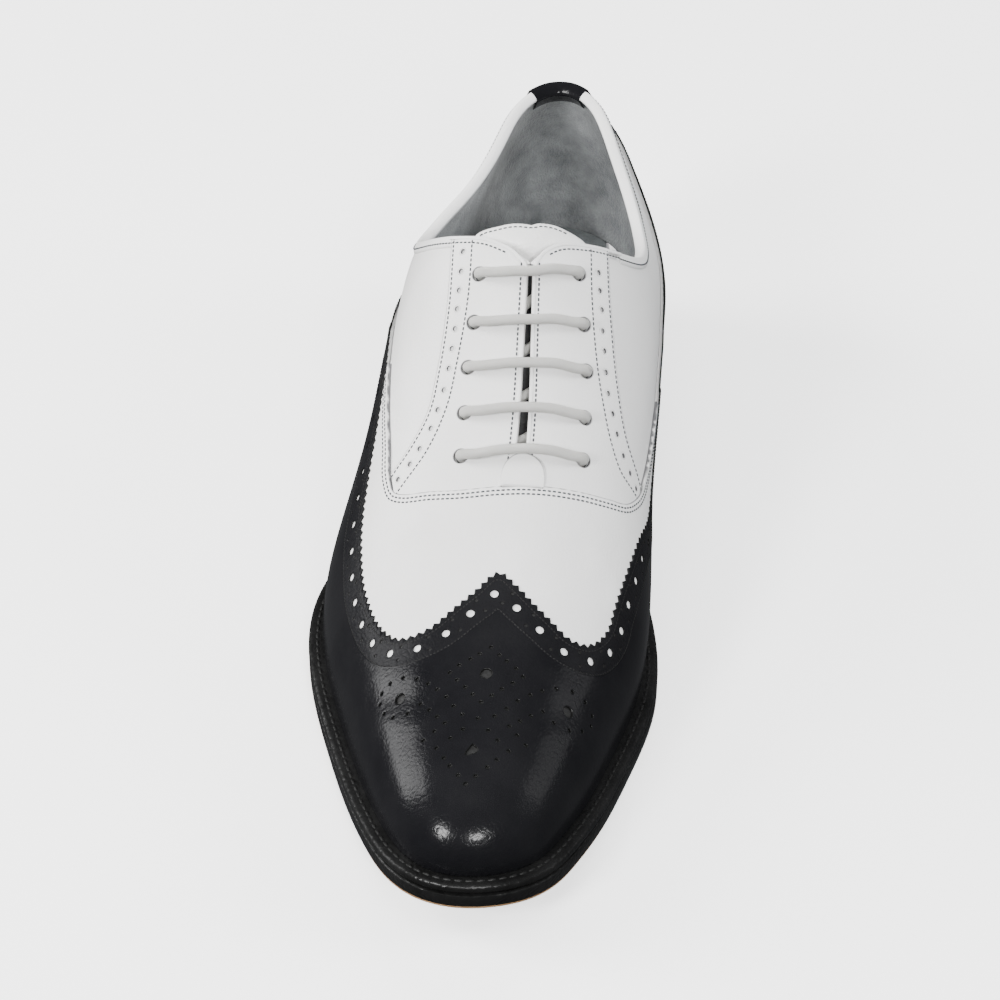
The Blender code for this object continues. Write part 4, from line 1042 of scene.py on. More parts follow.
# Tongue and its lining, under the lace
tongue = dict(
    outline=((-1, 0.640, 0.000), (-1, 0.640, 0.150), (-1, 0.560, 0.215), (-1, 0.460, 0.215),
             (-1, 0.404, 0.212), (-1, 0.391, 0.190), (-1, 0.380, 0.110), (-1, 0.3685, 0.045),
             (1, 0.3615, 0.010), (1, 0.3655, 0.080), (1, 0.372, 0.160), (1, 0.382, 0.270),
             (1, 0.400, 0.300), (1, 0.460, 0.320), (1, 0.560, 0.330), (1, 0.640, 0.200),
             (-1, 0.640, 0.000)),  # side, along, across
    riseStart=0.605, foot=0.640, thick=0.0026, topRise=0.424, topRun=0.034, topDepth=0.0030,
    # the tongue is painted darker from about here on: painted shade under the facings
    paintedShadeFrom=0.436, paintedShadeFade=0.006, ridgeAcross=-0.02, first=0.33, final=0.66)
laceSizes = dict(radius=0.00152, solidRadius=0.0015, clearance=0.00045, barArch=0.0004,
                 crowdedArch=0.0013, barStart=0.0045, endShift=0.0042, over=0.0003 + 0.0007)
tongueDeep = last["wall"] + 0.0030 + 3 * laceSizes["clearance"]


def tongueLift(along):
    foot = ease((along - tongue["riseStart"]) / (tongue["foot"] - tongue["riseStart"]))
    top = ease((tongue["topRise"] - along) / tongue["topRun"])
    return -(tongueDeep + (last["wall"] + last["gap"] - tongueDeep) * foot
             + (tongue["topDepth"] - tongueDeep) * top)


tongueRoute = [(along, side * across) for side, along, across in tongue["outline"]]
tongueLoop = loopOf(smoothLine(tongueRoute), pitch=0.0015)


def tongueTop(flat):
    return tongueLift(alongOf(flat))


def tongueAlong(points):  # along of points on the tongue, from the ridge point level with them
    along = np.linspace(tongue["first"], tongue["final"], 200)
    ridge = toPattern(chartTv(along, np.full(200, tongue["ridgeAcross"])))
    level = place(ridge, tongueLift(along))[:, 1]
    return alongOf(ridge[np.abs(points[:, 1:2] - level[None]).argmin(1)])


def makeTongue(name, loop, roof, thick, material, slot):
    def top(flat):
        return roof + tongueTop(flat)

    piece = cutPiece(name, loop, [], [loop], top, 0.0, 0.0005, 0.0022, material, flexed=False)
    mesh = piece.data
    count = len(mesh.vertices) // 2
    points = np.empty(len(mesh.vertices) * 3)
    mesh.vertices.foreach_get("co", points)
    points = points.reshape(-1, 3)
    normals = points[:count] - points[count:]
    normals /= np.linalg.norm(normals, axis=1)[:, None]
    points[count:] = points[:count] + normals * thick
    mesh.vertices.foreach_set("co", points.ravel())
    mesh.update()
    # painted shade: the tongue is coloured dark where it lies under the facings, and keeps its own
    # leather colour where it shows
    unshaded = np.clip((tongue["paintedShadeFrom"] - tongueAlong(points)) / tongue["paintedShadeFade"], 0, 1)
    mesh.attributes["edgeAndShadeGap"].data.foreach_set("value", (unshaded * mm).astype(np.float32))
    finishPiece(piece, slot, "tongue")


makeTongue("tongueFace", tongueLoop, 0.0, tongue["thick"] * 0.5, tongueLook, "tongue_leather")
makeTongue("tongueBack", aside(tongueLoop, -0.0006, True), -tongue["thick"] * 0.52,
           tongue["thick"] * 0.46, liningLook, "tongue_leather")
print("tongue made")

# Lace: over the facings in bars, slanting underneath, its ends left at the top eyelets
laceBend = (  # aside from the eyelet's centre; above the facing and below the wall
    (0.0026, 0.0000, None), (0.0011, -0.0004, None), (0.0003, -0.0012, None),
    (0.0000, None, None), (0.0000, None, 0.0010), (0.0010, None, 0.0001))


def aroundPlace(along, across, offsets):  # (along the shoe, across it) in metres, as the solids do
    def point(u, a):
        return placeTv(chartTv([u], [a]))[0]

    step = 1e-3
    side = np.sign(across) if across else 1.0
    ahead = (point(along + step, across) - point(along - step, across)) / (2 * step)
    down = (point(along, across + side * step) - point(along, across)) / (side * step)
    aheadHat = ahead / np.linalg.norm(ahead)
    downHat = down - aheadHat * np.dot(down, aheadHat)
    downHat /= np.linalg.norm(downHat)
    frameOf = np.array([[np.dot(ahead, aheadHat), np.dot(down, aheadHat)],
                        [np.dot(ahead, downHat), np.dot(down, downHat)]])
    return np.array([along, across]) + np.linalg.solve(frameOf, np.asarray(offsets, float).T).T


def laceRoute():
    depth = laceSizes["solidRadius"]
    over = laceSizes["over"] + depth + laceSizes["clearance"]
    under = -(last["wall"] + depth + laceSizes["clearance"])
    lateral = [np.array([row[0], -row[1]]) for row in eyelets]
    medial = [np.array([row[2], row[3]]) for row in eyelets]
    final = len(eyelets) - 1
    route = []

    def through(spot, towards):
        shifts = aroundPlace(*spot, [(0.0, towards * row[0]) for row in laceBend])
        rows = []
        for shift, (_, above, below) in zip(shifts, laceBend):
            lift = over + above if above is not None else under + below if below else 0.0
            rows.append((*shift, lift))
        return rows

    def run(start, end, shares, level, arch=0.0):
        for share in shares:
            spot = start + (end - start) * share
            route.append((*spot, level + arch * math.sin(math.pi * share)))

    for i in range(final + 1):
        left, right = lateral[i], medial[i]
        route += through(left, 1)[::-1]
        start = aroundPlace(*left, [(0.0, laceSizes["barStart"])])[0]
        end = aroundPlace(*right, [(0.0, -laceSizes["barStart"])])[0]
        arch = laceSizes["crowdedArch"] if i in (0, final) else laceSizes["barArch"]
        run(start, end, (0.0, 0.25, 0.5, 0.75, 1.0), over, arch)
        if i < final:
            route += through(right, -1)
            ahead = aroundPlace(*lateral[i + 1], [(0.0, laceSizes["barStart"])])[0]
            run(end, ahead, (0.0, 0.5, 1.0), under)
    route += through(medial[final], -1)[:-1] + through(medial[final], 1)[-1:]
    for spot in medial[::-1]:
        route.append((*aroundPlace(*spot, [(0.0, laceSizes["endShift"])])[0], under))
    return np.array(route)


def smoothPath(points, step):  # even steps along a centripetal curve through the points
    gaps = np.sqrt(np.linalg.norm(np.diff(points, axis=0), axis=1))
    knots = np.concatenate([[0.0], np.cumsum(gaps)])
    slope = np.gradient(points, knots, axis=0)
    s = np.linspace(0, 1, 24, endpoint=False)[:, None]
    fine = [hermite(s, knots[i + 1] - knots[i], points[i], slope[i], points[i + 1], slope[i + 1])
            for i in range(len(points) - 1)]
    fine = np.concatenate(fine + [points[-1:]])
    reach = lengths(fine)
    stops = np.linspace(0, reach[-1], int(reach[-1] / step) + 1)
    return np.stack([np.interp(stops, reach, fine[:, i]) for i in range(3)], 1)


def makeTube(name, path, radius, sides, material):
    way = np.gradient(path, axis=0)
    way /= np.linalg.norm(way, axis=1)[:, None]
    across = np.cross(way[0], [0.0, 0.0, 1.0])
    frames = []
    for direction in way:
        across = across - direction * np.dot(across, direction)
        across /= np.linalg.norm(across)
        frames.append((across.copy(), np.cross(direction, across)))
    turn = 2 * np.pi * np.arange(sides) / sides
    rows = np.array([[centre + radius * (a * math.cos(w) + b * math.sin(w)) for w in turn]
                     for centre, (a, b) in zip(path, frames)])
    verts = rows.reshape(-1, 3)
    faces = []
    for i in range(len(path) - 1):
        faces += bandFaces(i * sides, (i + 1) * sides, sides)
    faces.append(tuple(range(sides))[::-1])
    faces.append(tuple(range((len(path) - 1) * sides, len(path) * sides)))
    corner = verts[list(faces[0])]
    if np.dot(np.cross(corner[1] - corner[0], corner[2] - corner[0]),
              corner.mean(0) - path[0]) < 0:
        faces = [face[::-1] for face in faces]
    piece = addMesh(name, verts, faces, material, 60)
    uv = piece.data.uv_layers.new(name="braid")
    reach = lengths(path) / (2 * np.pi * radius)
    for face in piece.data.polygons:
        columns = [piece.data.loops[k].vertex_index % sides for k in face.loop_indices]
        wraps = max(columns) == sides - 1 and 0 in columns and len(columns) == 4
        for k in face.loop_indices:
            vertex = piece.data.loops[k].vertex_index
            column = vertex % sides
            turnShare = (column + (sides if wraps and column == 0 else 0)) / sides
            uv.data[k].uv = (turnShare * 8, reach[vertex // sides] * 8)
    return piece


route = laceRoute()
routePoints = placeTv(chartTv(route[:, 0], route[:, 1]), route[:, 2])
lacePath = smoothPath(routePoints, 0.0006)
lace = makeTube("laceCord", lacePath, laceSizes["radius"], 16, laceCotton)
finishPiece(lace, "lace_cotton", "lace")
print("lace length", round(float(lengths(lacePath)[-1]), 4))

# Topline binding: leather folded over the collar's edge, in and out
binding = dict(outside=0.0032, inside=0.0016, skin=0.00070, bulge=0.55, lateralEnd=0.3995,
               medialEnd=0.3735)
facingRim = dict(outside=0.0009, inside=0.0008, skin=0.00025, bulge=0.16, end=0.606)


def bindingRows(line, left, outside, inside, bulge, skin, base, depth):
    # section: up the outside, over the rim and down the lining side, then back under itself;
    # left is 1 where the leather lies left of the line, -1 where it lies right of it
    at = place(line)
    normal = outwardAt(fromPattern(line))
    up = np.cross(tangents(line), normal)
    up *= np.sign((up * (at - place(aside(line, left * outside)))).sum(1))[:, None]
    centre = (base - depth) / 2
    half = (base + depth) / 2 + skin
    section = []
    for share in (1.0, 0.75, 0.5, 0.25, 0.0):  # outside flank
        section.append((-outside * share, base + skin * min(1.0, (1 - share) * 5 + 0.35)))
    for angle in np.radians(np.linspace(75, -75, 9)):  # the rolled rim
        section.append((math.cos(angle) * half * bulge, centre + math.sin(angle) * half))
    for share in (0.0, 0.35, 0.7, 1.0):  # lining side
        section.append((-inside * share, -depth - skin * (0.9 if share < 1 else 0.4)))
    section += [(-inside, -depth - 0.00002), (-inside * 0.5, -depth - 0.00002),
                (0.0, -depth * 0.6), (0.0, base * 0.5),
                (-outside * 0.5, base + 0.00002), (-outside, base + 0.00002)]
    flats = {}
    rows = []
    for reach, lift in section:
        if reach > 0:
            rows.append(at + up * reach + normal * lift)
            continue
        key = round(reach, 7)
        if key not in flats:
            flats[key] = aside(line, left * -reach)
        rows.append(place(flats[key], lift))
    return np.array(rows).transpose(1, 0, 2)


collarWalk = walk(collarBack, 0.0016)
along, across = alongOf(collarWalk), acrossOf(collarWalk)
collarWalk = collarWalk[np.where(across < 0, along < binding["lateralEnd"],
                                 along < binding["medialEnd"])]
middle = len(collarWalk) // 2
lower = place(aside(collarWalk, 0.003))[middle][2] < place(collarWalk)[middle][2]
leatherSide = 1 if lower else -1  # which side of the collar line the quarters lie on
rows = bindingRows(collarWalk, leatherSide, binding["outside"], binding["inside"],
                   binding["bulge"], binding["skin"], 0.0, last["wall"])
topline = sweep("topline", rows, whiteLeather, smoothAngle=70)
finishPiece(topline, "white_leather", "upper")
for side, name in ((-1, "lateralRim"), (1, "medialRim")):
    end = binding["lateralEnd"] if side < 0 else binding["medialEnd"]
    collar = sideLine(collarLine, side)
    throat = throatLine(side, last["throatTop"], facingRim["end"], 50)
    line = np.concatenate([collar[alongOf(collar) > end - 0.004], throat])
    line = walk(line, 0.0012)
    line[1:-1] = (line[:-2] + 2 * line[1:-1] + line[2:]) / 4
    rows = bindingRows(line, side, facingRim["outside"], facingRim["inside"],
                       facingRim["bulge"], facingRim["skin"], stays["top"], last["wall"])
    finishPiece(sweep(name, rows, whiteLeather, smoothAngle=70), "white_leather", "upper")
print("binding made")

# Heel tab: the black strip turned over the topline at the back
heelTab = dict(halfWidth=0.0100, outside=0.0098, inside=0.0062, skin=0.0007)
reach = lengths(place(collarWalk))
heelAt = reach[np.argmin(np.abs(np.mod(fromPattern(collarWalk)[:, 0] + 0.5, 1.0) - 0.5))]
stops = np.linspace(heelAt - heelTab["halfWidth"], heelAt + heelTab["halfWidth"], 25)
tabWalk = np.stack([np.interp(stops, reach, collarWalk[:, i]) for i in (0, 1)], 1)
rows = bindingRows(tabWalk, leatherSide, heelTab["outside"], heelTab["inside"],
                   binding["bulge"] * 0.8, heelTab["skin"], binding["skin"] + 0.0001,
                   last["wall"] + binding["skin"])
backStrip = sweep("heelTabPiece", rows, blackLeather, smoothAngle=60)
finishPiece(backStrip, "black_leather", "back_strip")

# Sole, from the insole down
soleSizes = dict(edgeRound=0.0009, weltInside=0.0042, insole=0.0025, heelLength=0.070,
                 heelTaper=0.0012, breastCurve=0.003, topPiece=0.006, lifts=3, groove=0.00022,
                 steps=420)
ringT = np.linspace(0, 1, soleSizes["steps"], endpoint=False)


def ring(offset, height):
    step = 1e-4
    places = footCurve(ringT)
    forward = (footCurve(ringT + step) - footCurve(ringT - step))[:, :2]
    outward = np.stack([-forward[:, 1], forward[:, 0]], 1)
    outward /= np.linalg.norm(outward, axis=1)[:, None]
    outward *= np.sign((outward * (places[:, :2] - places[:, :2].mean(0))).sum(1))[:, None]
    moved = places.copy()
    moved[:, :2] += outward * np.broadcast_to(offset(places[:, 1]), (len(places),))[:, None]
    moved[:, 2] = height(moved[:, 1])
    return moved


def weltReach(y):
    front = ease((soleShare(y) - last["waistStart"]) / (last["waistEnd"] - last["waistStart"]))
    return last["weltBack"] + (last["weltFront"] - last["weltBack"]) * front


def ringPiece(name, rings, material, closedRing, smoothAngle=40):
    # rings run from the lowest inside edge out and up; open ends are closed by a grid of strips
    count = len(rings[0])
    faces = []
    for band in range(len(rings) if closedRing else len(rings) - 1):
        faces += bandFaces(band * count, (band + 1) % len(rings) * count, count)
    if not closedRing:
        for start, flip in ((0, True), ((len(rings) - 1) * count, False)):
            for i in range(count // 2):
                strip = [i, (i + 1) % count, (count - i - 1) % count, (count - i) % count]
                strip = [start + k for k in dict.fromkeys(strip)]
                if len(strip) > 2:
                    faces.append(tuple(strip[::-1] if flip else strip))
    return solidMesh(name, np.concatenate(rings), faces, material, smoothAngle, 2e-6)


def arcRings(reach, low, high, radius, outset=0.0, steps=5):
    # the rounded outside edge between two heights
    rings = []
    for angle in np.linspace(-90, 90, 2 * steps + 1):
        out = math.cos(math.radians(angle)) * radius
        height = math.sin(math.radians(angle))

        def level(y, height=height):
            middle = (low(y) + high(y)) / 2
            half = (high(y) - low(y)) / 2
            return middle + half * height

        rings.append(ring(lambda y, out=out: reach(y) - radius + out + outset, level))
    return rings


def weltLow(y):
    return outsoleTop(y) + last["gap"]


def weltHigh(y):
    return outsoleTop(y) + last["gap"] + last["weltThick"]


def innerRings(rows):  # rows: metres inside the feather line, height function, lift
    return [ring(lambda y: -inset, lambda y: height(y) + lift) for inset, height, lift in rows]


def edgeRings(rows):  # rows: metres outside the welt's edge, height function, lift
    return [ring(lambda y: weltReach(y) + outset, lambda y: height(y) + lift)
            for outset, height, lift in rows]


weltInner = innerRings([(soleSizes["weltInside"], weltLow, 0.0),
                        (soleSizes["weltInside"], weltHigh, 0.0)])
weltRings = weltInner[:1] + arcRings(weltReach, weltLow, weltHigh, 0.0017) + weltInner[1:]
finishPiece(ringPiece("weltStrip", weltRings, weltLook, True, 60), "sole_edge", "welt")
soleUnder = edgeRings([  # its top shows as a thin tan line of leather under the inked edge
    (-0.0012, soleBottom, 0.0), (-0.0003, soleBottom, 0.0002), (-0.0001, soleBottom, 0.0009)])
finishPiece(ringPiece("outsoleLeather", soleUnder, soleLook, False, 40), "sole_leather", "outsole")
soleEdge = edgeRings([
    (-0.0003, soleBottom, 0.00092), (0.0, soleBottom, 0.0012), (0.0, outsoleTop, -0.0007),
    (-0.0002, outsoleTop, -0.0003), (-0.0009, outsoleTop, 0.0)])
finishPiece(ringPiece("outsoleEdge", soleEdge, weltLook, False, 50), "sole_edge", "outsole")
insoleRings = innerRings([
    (soleSizes["weltInside"] + 0.0006, weltLow, 0.0),
    (soleSizes["weltInside"] + 0.0006, featherHeight, 0.0),
    (last["wall"] + 0.0009, featherHeight, 0.0),
    (last["wall"] + 0.0009, featherHeight, soleSizes["insole"] - 0.0004),
    (last["wall"] + 0.0013, featherHeight, soleSizes["insole"])])
finishPiece(ringPiece("insoleSock", insoleRings, sockLook, False, 50), "insole_leather", "insole")


def heelLoop(inset, height, steps=60):
    breast = soleLength / 2 - soleSizes["heelLength"]
    outline = ring(lambda y: weltReach(y) - inset, soleBottom)
    half = len(outline) // 2
    lateral, medial = outline[:half], np.roll(outline[::-1], 1, axis=0)[:half]
    sides = []
    for edge in (lateral, medial):
        run = lengths(np.concatenate([edge[:, :2], 0 * edge[:, :1]], 1))
        end = np.interp(-breast, -edge[:, 1], run)
        stops = end * np.linspace(0, 1, steps)
        x, y = np.interp(stops, run, edge[:, 0]), np.interp(stops, run, edge[:, 1])
        sides.append(np.stack([x, y, height(y)], 1))
    left, right = sides
    share = np.linspace(0, 1, 26)[1:-1, None]
    front = left[-1] + (right[-1] - left[-1]) * share
    front[:, 1] += soleSizes["breastCurve"] * np.sin(np.pi * share[:, 0])
    front[:, 2] = height(front[:, 1])
    return np.concatenate([left, front, right[:0:-1]])


def heelPiece(name, levels, material, slot, part):
    # levels: (inset, height function), from the lowest up
    loops = [heelLoop(inset, height) for inset, height in levels]
    count = len(loops[0])
    verts = np.concatenate(loops)
    faces = []
    for band in range(len(loops) - 1):
        faces += bandFaces(band * count, (band + 1) * count, count)
    for start in (0, (len(loops) - 1) * count):
        middle = len(verts)
        verts = np.concatenate([verts, verts[start:start + count].mean(0)[None]])
        faces += [(start + i, start + (i + 1) % count, middle) for i in range(count)]
    finishPiece(solidMesh(name, verts, faces, material, 40), slot, part)


stackLow = soleSizes["topPiece"] + last["gap"]
levels = []
for lift in range(soleSizes["lifts"]):
    for share, inset in ((0.0, soleSizes["groove"]), (0.02, 0.0), (0.98, 0.0),
                         (1.0, soleSizes["groove"])):
        part = (lift + share) / soleSizes["lifts"]

        def level(y, part=part):
            return stackLow + (soleBottom(y) - last["gap"] - stackLow) * part

        levels.append((soleSizes["heelTaper"] * (1 - part) + inset, level))
heelPiece("heelStack", levels, weltLook, "sole_edge", "heel_stack")
rubberRows = ((0.0006, 0.0), (0.0002, 0.0003), (0.0, 0.0008),  # inset, height
              (0.0, soleSizes["topPiece"] - 0.0003), (0.0002, soleSizes["topPiece"]))
heelPiece("heelRubber", [(soleSizes["heelTaper"] + inset, lambda y, height=height: 0 * y + height)
                         for inset, height in rubberRows], rubberLook, "heel_rubber", "top_piece")
print("sole made")


# Stitches: Geometry Nodes lay one small stitch at every step of a seam
def seamGroup(name, inputs):
    return newGroup(name, [("Geometry", "NodeSocketGeometry"), *inputs],
                    [("Geometry", "NodeSocketGeometry")], "GeometryNodeTree")


def paintOut(tree, instance, material, out):
    realize = node(tree, "GeometryNodeRealizeInstances", {
        "Geometry": instance.outputs["Instances"]})
    paint = node(tree, "GeometryNodeSetMaterial", {
        "Geometry": realize.outputs["Geometry"], "Material": material})
    fill(tree, out, {"Geometry": paint.outputs["Geometry"]})


def namedAttribute(tree, label, kind):
    made = node(tree, "GeometryNodeInputNamedAttribute", {"Name": label}, data_type=kind)
    return made.outputs["Attribute"]


def makeStitchTree():
    tree, given, out = seamGroup("seamStitches", [
        ("Pitch", "NodeSocketFloat"), ("Stitch", "NodeSocketObject"),
        ("Thread", "NodeSocketMaterial")])
    curve = node(tree, "GeometryNodeMeshToCurve", {"Mesh": given.outputs["Geometry"]})
    resample = node(tree, "GeometryNodeResampleCurve", {
        "Curve": curve.outputs["Curve"], "Length": given.outputs["Pitch"]}, mode="LENGTH")
    stitch = node(tree, "GeometryNodeObjectInfo", {"Object": given.outputs["Stitch"]})
    along = node(tree, "GeometryNodeInputTangent")
    first = node(tree, "FunctionNodeAlignRotationToVector", {
        "Vector": along.outputs["Tangent"]}, axis="X")
    second = node(tree, "FunctionNodeAlignRotationToVector", {
        "Rotation": first.outputs["Rotation"],
        "Vector": namedAttribute(tree, "up", "FLOAT_VECTOR")}, axis="Z", pivot_axis="X")
    instance = node(tree, "GeometryNodeInstanceOnPoints", {
        "Points": resample.outputs["Curve"], "Instance": stitch.outputs["Geometry"],
        "Rotation": second.outputs["Rotation"]})
    paintOut(tree, instance, given.outputs["Thread"], out)
    return tree


def makeRimTree():  # a rolled rim round every punched hole
    tree, given, out = seamGroup("punchedRims", [
        ("Rim", "NodeSocketObject"), ("Leather", "NodeSocketMaterial")])
    rim = node(tree, "GeometryNodeObjectInfo", {"Object": given.outputs["Rim"]})
    turned = node(tree, "FunctionNodeAlignRotationToVector", {
        "Vector": namedAttribute(tree, "up", "FLOAT_VECTOR")}, axis="Z")
    instance = node(tree, "GeometryNodeInstanceOnPoints", {
        "Points": given.outputs["Geometry"], "Instance": rim.outputs["Geometry"],
        "Rotation": turned.outputs["Rotation"],
        "Scale": namedAttribute(tree, "size", "FLOAT")})
    paintOut(tree, instance, given.outputs["Leather"], out)
    return tree


stitchTree = makeStitchTree()
rimTree = makeRimTree()


def socketOf(tree, label):
    return next(item.identifier for item in tree.interface.items_tree
                if item.name == label and item.in_out == "INPUT")


def looseShape(name, rows, material, closed=False):  # kept out of the scene, for copies only
    piece = sweep(name, np.array(rows), material, closed=closed)
    bpy.context.scene.collection.objects.unlink(piece)
    return piece


def stitchShape(length, width, height):  # one stitch, sunk at both ends
    rows = []
    for share in (-0.5, -0.36, 0.0, 0.36, 0.5):
        swell = math.sqrt(max(0.0, 1 - (share * 2) ** 4)) * 0.88 + 0.12
        sink = -height * 0.5 * abs(share * 2) ** 3
        rows.append([(share * length, math.cos(a) * width / 2 * swell,
                      math.sin(a) * height / 2 * swell + sink)
                     for a in np.arange(6) * math.pi / 3])
    return looseShape("stitchShape", rows, greyThread)


def rimShape(width):
    rows = []
    for a in np.arange(12) * math.pi / 6:
        rows.append([(math.cos(a) * (1 + width * math.cos(b)),
                      math.sin(a) * (1 + width * math.cos(b)), width * 0.5 * math.sin(b))
                     for b in np.arange(5) * math.pi * 0.4])
    return looseShape("rimShape", rows, greyThread, closed=True)


def pitShape():  # the dark bottom of a pricked dot
    return looseShape("pitShape", [
        [(math.cos(a) * r, math.sin(a) * r, h) for a in np.arange(8) * math.pi / 4]
        for r, h in ((0.7, -0.02), (1.0, 0.0), (0.7, 0.02))], rubberLook)


def applyTree(name, mesh, tree, values, slot):
    helper = bpy.data.objects.new(name + "Path", mesh)
    bpy.context.scene.collection.objects.link(helper)
    made = helper.modifiers.new("nodes", "NODES")
    made.node_group = tree
    for label, value in values.items():
        made[socketOf(tree, label)] = value
    bpy.context.view_layer.update()
    evaluated = helper.evaluated_get(bpy.context.evaluated_depsgraph_get())
    result = bpy.data.meshes.new_from_object(evaluated)
    helper.modifiers.remove(made)
    bpy.data.objects.remove(helper, do_unlink=True)
    for label in ("up", "size"):
        if label in result.attributes:
            result.attributes.remove(result.attributes[label])
    result.shade_smooth()
    piece = bpy.data.objects.new(name, result)
    bpy.context.scene.collection.objects.link(piece)
    finishPiece(piece, slot)


def markPoints(mesh, label, kind, values):
    layer = mesh.attributes.new(label, kind, "POINT")
    layer.data.foreach_set("value" if kind == "FLOAT" else "vector", values)


def addStitches(name, lines, pitch, width, thread):
    # lines: (points, normals) in metres, where the thread lies
    verts, edges, ups = [], [], []
    for points, normals in lines:
        start = len(verts)
        verts += [tuple(p) for p in points]
        ups += [c for normal in normals for c in normal]
        edges += [(start + i, start + i + 1) for i in range(len(points) - 1)]
    mesh = bpy.data.meshes.new(name)
    mesh.from_pydata(verts, edges, [])
    markPoints(mesh, "up", "FLOAT_VECTOR", ups)
    shape = stitchShape(pitch * 0.84, width, width * 0.7)
    applyTree(name, mesh, stitchTree, {"Pitch": pitch, "Stitch": shape, "Thread": thread},
              "stitch_thread")


def seam(flat, lift):
    points = walk(flat, 0.0015)
    tv = fromPattern(points)
    normal = outwardAt(tv)
    height = np.broadcast_to(lift, (len(points),)) + relief(points)
    return placeTv(tv) + normal * height[:, None], normal


def addRims(name, centres, lift, radius, shape, material, slot):
    mesh = bpy.data.meshes.new(name)
    tv = fromPattern(centres)
    normal = outwardAt(tv)
    points = placeTv(tv) + normal * (lift + relief(centres))[:, None]
    mesh.from_pydata([tuple(p) for p in points], [], [])
    markPoints(mesh, "up", "FLOAT_VECTOR", normal.ravel())
    markPoints(mesh, "size", "FLOAT", np.full(len(points), radius))
    applyTree(name, mesh, rimTree, {"Rim": shape, "Leather": material}, slot)


rowSizes = dict(white=dict(pitch=0.00150, width=0.00056), black=dict(pitch=0.00115, width=0.00040),
                welt=dict(pitch=0.0031, width=0.00085))
skimmed = 0.00005  # how far a thread's middle lies above the leather


def onLeather(line):  # the part of a line that lies on the quarters
    line = walk(line, 0.0008)
    return line[~inside(line, openingLoop)]


stayRows = [onLeather(line) for line in (outerLateral, innerLateral, innerMedial, outerMedial)]
stayRows += [aside(walk(throatLateral, 0.002), -0.0017), aside(walk(throatMedial, 0.002), 0.0017)]
for side, end in ((-1, binding["lateralEnd"]), (1, binding["medialEnd"])):
    collar = sideLine(collarLine, side)
    stayRows.append(aside(walk(collar[alongOf(collar) > end], 0.0015), side * 0.0019)[:-1])
vampRows = [aside(walk(vampEdge, 0.002), -distance) for distance in (0.0013, 0.0026)]
rows = [seam(line, stays["top"] + skimmed) for line in stayRows]
rows += [seam(line, vampSizes["top"] + skimmed) for line in vampRows]
addStitches("whiteSeams", rows, thread=greyThread, **rowSizes["white"])
collarRow = aside(collarWalk, leatherSide * 0.0020)
tongueLine = mitred(smoothLine(tongueRoute[4:11]), -0.0017)
tongueSeam = (place(tongueLine, tongueTop(tongueLine) + 0.00006),
              outwardAt(fromPattern(tongueLine)))
addStitches("collarSeam", [seam(collarRow, binding["skin"] + 0.00014), tongueSeam],
            thread=greyThread, **rowSizes["white"])
rows = []
for line, side, lift in ((wingEdge, -1, 0.00174), (counterEdge, 1, 0.00144)):
    rows += [seam(mitred(line, side * reach), lift)
             for reach in (bandSizes["firstRow"], bandSizes["inner"])]
addStitches("blackSeams", rows, thread=blackThread, **rowSizes["black"])
weltLine = ring(lambda y: weltReach(y) - 0.0028, weltHigh)
weltLine = weltLine[soleShare(weltLine[:, 1]) > 0.30] + [0, 0, 0.00012]
addStitches("weltSeam", [(weltLine, np.tile([0.0, 0.0, 1.0], (len(weltLine), 1)))],
            thread=blackThread, **rowSizes["welt"])
addRims("stripRims", np.concatenate([lateralSpots, medialSpots]), stays["top"] - 0.00004,
        stripHoles["radius"] + 0.00012, rimShape(0.16), whiteLeather, "white_leather")
for name, centres, top in (("bandRims", bandHoles, blackSizes["wingTop"]),
                           ("counterRims", counterHoles, blackSizes["counterTop"])):
    addRims(name, centres, top - 0.00006, bandSizes["hole"] + 0.00012, rimShape(0.11),
            blackLeather, "black_leather")
for name, centres, lift in (("wingPits", bandDots, 0.00140), ("counterPits", counterDots, 0.00115)):
    addRims(name, centres, lift, bandSizes["dot"] + 0.00003, pitShape(), rubberLook,
            "black_leather")
print("stitches laid")

# Floor, light and camera
studio = dict(floor=3.0, camera=(0.075020, -0.640668, 0.582384), focal=2719.247, centre=(490, 500),
              yaw=-1.364, pitch=40.868, aim=(300, 487), sensor=36.0)
floorMesh = bpy.data.meshes.new("floor")
half = studio["floor"]
floorMesh.from_pydata([(-half, -half, 0), (half, -half, 0), (half, half, 0), (-half, half, 0)], [],
                      [(0, 1, 2, 3)])
floor = bpy.data.objects.new("floor", floorMesh)
bpy.context.scene.collection.objects.link(floor)
floorLook, floorTree, floorShader = newMaterial("paleFloor")
fill(floorTree, floorShader, {
    "Base Color": (0.93, 0.93, 0.93, 1), "Roughness": 0.75, "Specular IOR Level": 0.2,
    "Emission Color": (1, 1, 1, 1), "Emission Strength": 1.3})
floorMesh.materials.append(floorLook)
floor.visible_glossy = False  # black leather without the pale floor in it
floor.visible_diffuse = False

world = bpy.data.worlds.new("studio")
bpy.context.scene.world = world
world.use_nodes = True
world.node_tree.nodes["Background"].inputs[0].default_value = (0.95, 0.97, 1.0, 1)
world.node_tree.nodes["Background"].inputs[1].default_value = 0.11


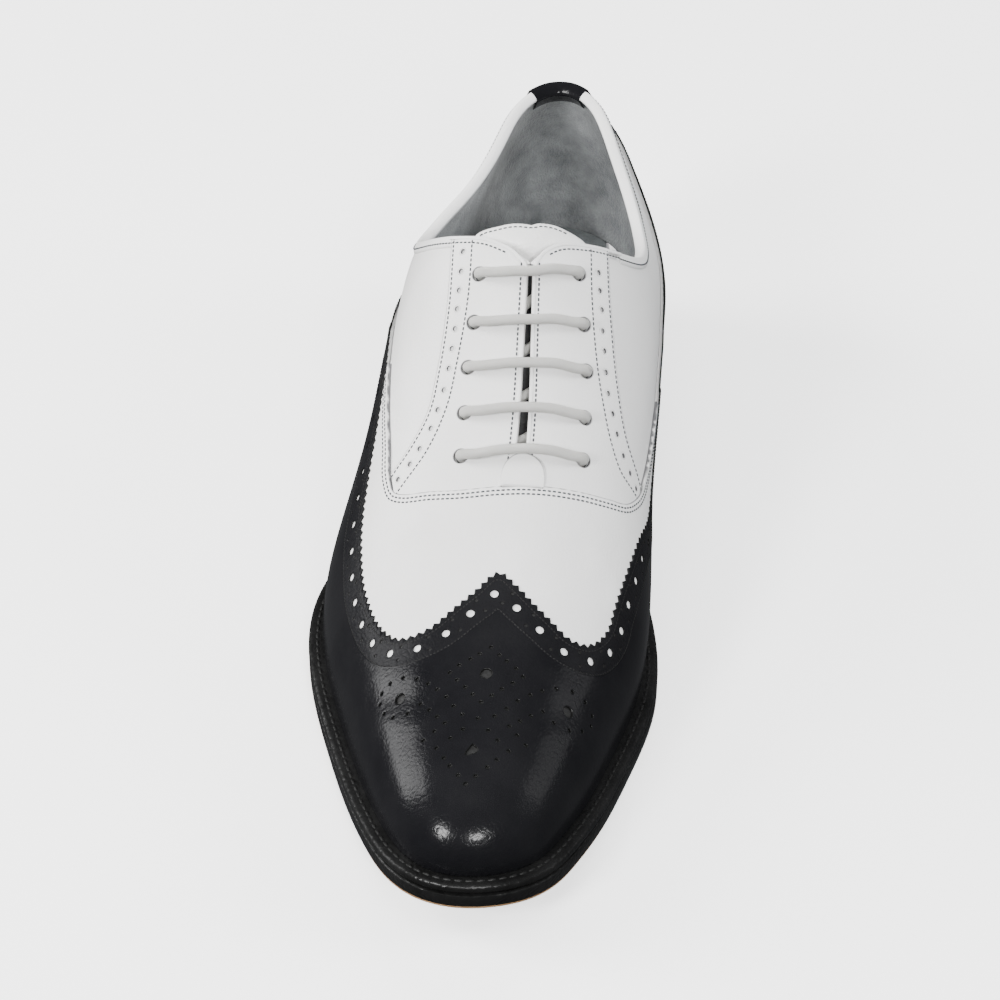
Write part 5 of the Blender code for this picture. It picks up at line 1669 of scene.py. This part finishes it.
def addLight(name, at, size, power, color=(1, 1, 1), mirrored=True):
    lamp = bpy.data.lights.new(name, "AREA")
    lamp.shape = "RECTANGLE"
    lamp.size, lamp.size_y = size
    lamp.energy = power
    lamp.color = color
    rig = bpy.data.objects.new(name, lamp)
    rig.location = at
    rig.rotation_euler = (Vector((0, 0, 0.05)) - Vector(at)).to_track_quat("-Z", "Y").to_euler()
    rig.visible_glossy = mirrored  # a fill light gives no highlight of its own
    bpy.context.scene.collection.objects.link(rig)


addLight("fillLeft", (-1.30, 0.05, 0.75), (0.6, 0.8), 26.0, (1.0, 0.985, 0.965), False)
addLight("fillRight", (1.30, 0.20, 0.75), (0.5, 0.7), 17.0, (0.965, 0.985, 1.0), False)
addLight("fillBack", (0.0, 1.6, 1.1), (1.2, 0.8), 24.0, (1, 1, 1), False)
addLight("fillTop", (0.0, -0.15, 1.6), (0.9, 0.9), 14.0, (1, 1, 1), False)
addLight("sheenLeft", (-1.30, 0.25, 0.60), (0.35, 0.9), 9.0)
addLight("sheenRight", (1.30, 0.35, 0.60), (0.30, 0.8), 1.2)
addLight("frontLeft", (-0.86, -1.15, 1.05), (0.44, 0.40), 34.0)
addLight("frontRight", (0.44, -1.25, 1.00), (0.30, 0.27), 18.0)


def photoRay(px, py):
    yaw, pitch = math.radians(studio["yaw"]), math.radians(studio["pitch"])
    forward = Vector((math.sin(yaw) * math.cos(pitch), math.cos(yaw) * math.cos(pitch),
                      -math.sin(pitch)))
    right = forward.cross(Vector((0, 0, 1))).normalized()
    up = right.cross(forward)
    return (forward * studio["focal"] + right * (px - studio["centre"][0])
            - up * (py - studio["centre"][1])).normalized()


lens = bpy.data.cameras.new("camera")
lens.sensor_width = studio["sensor"]
lens.sensor_fit = "HORIZONTAL"
lens.lens = studio["focal"] / 1000 * studio["sensor"]
lens.clip_start = 0.01
camera = bpy.data.objects.new("camera", lens)
camera.location = studio["camera"]
camera.rotation_euler = photoRay(*studio["aim"]).to_track_quat("-Z", "Y").to_euler()
bpy.context.scene.collection.objects.link(camera)
bpy.context.scene.camera = camera
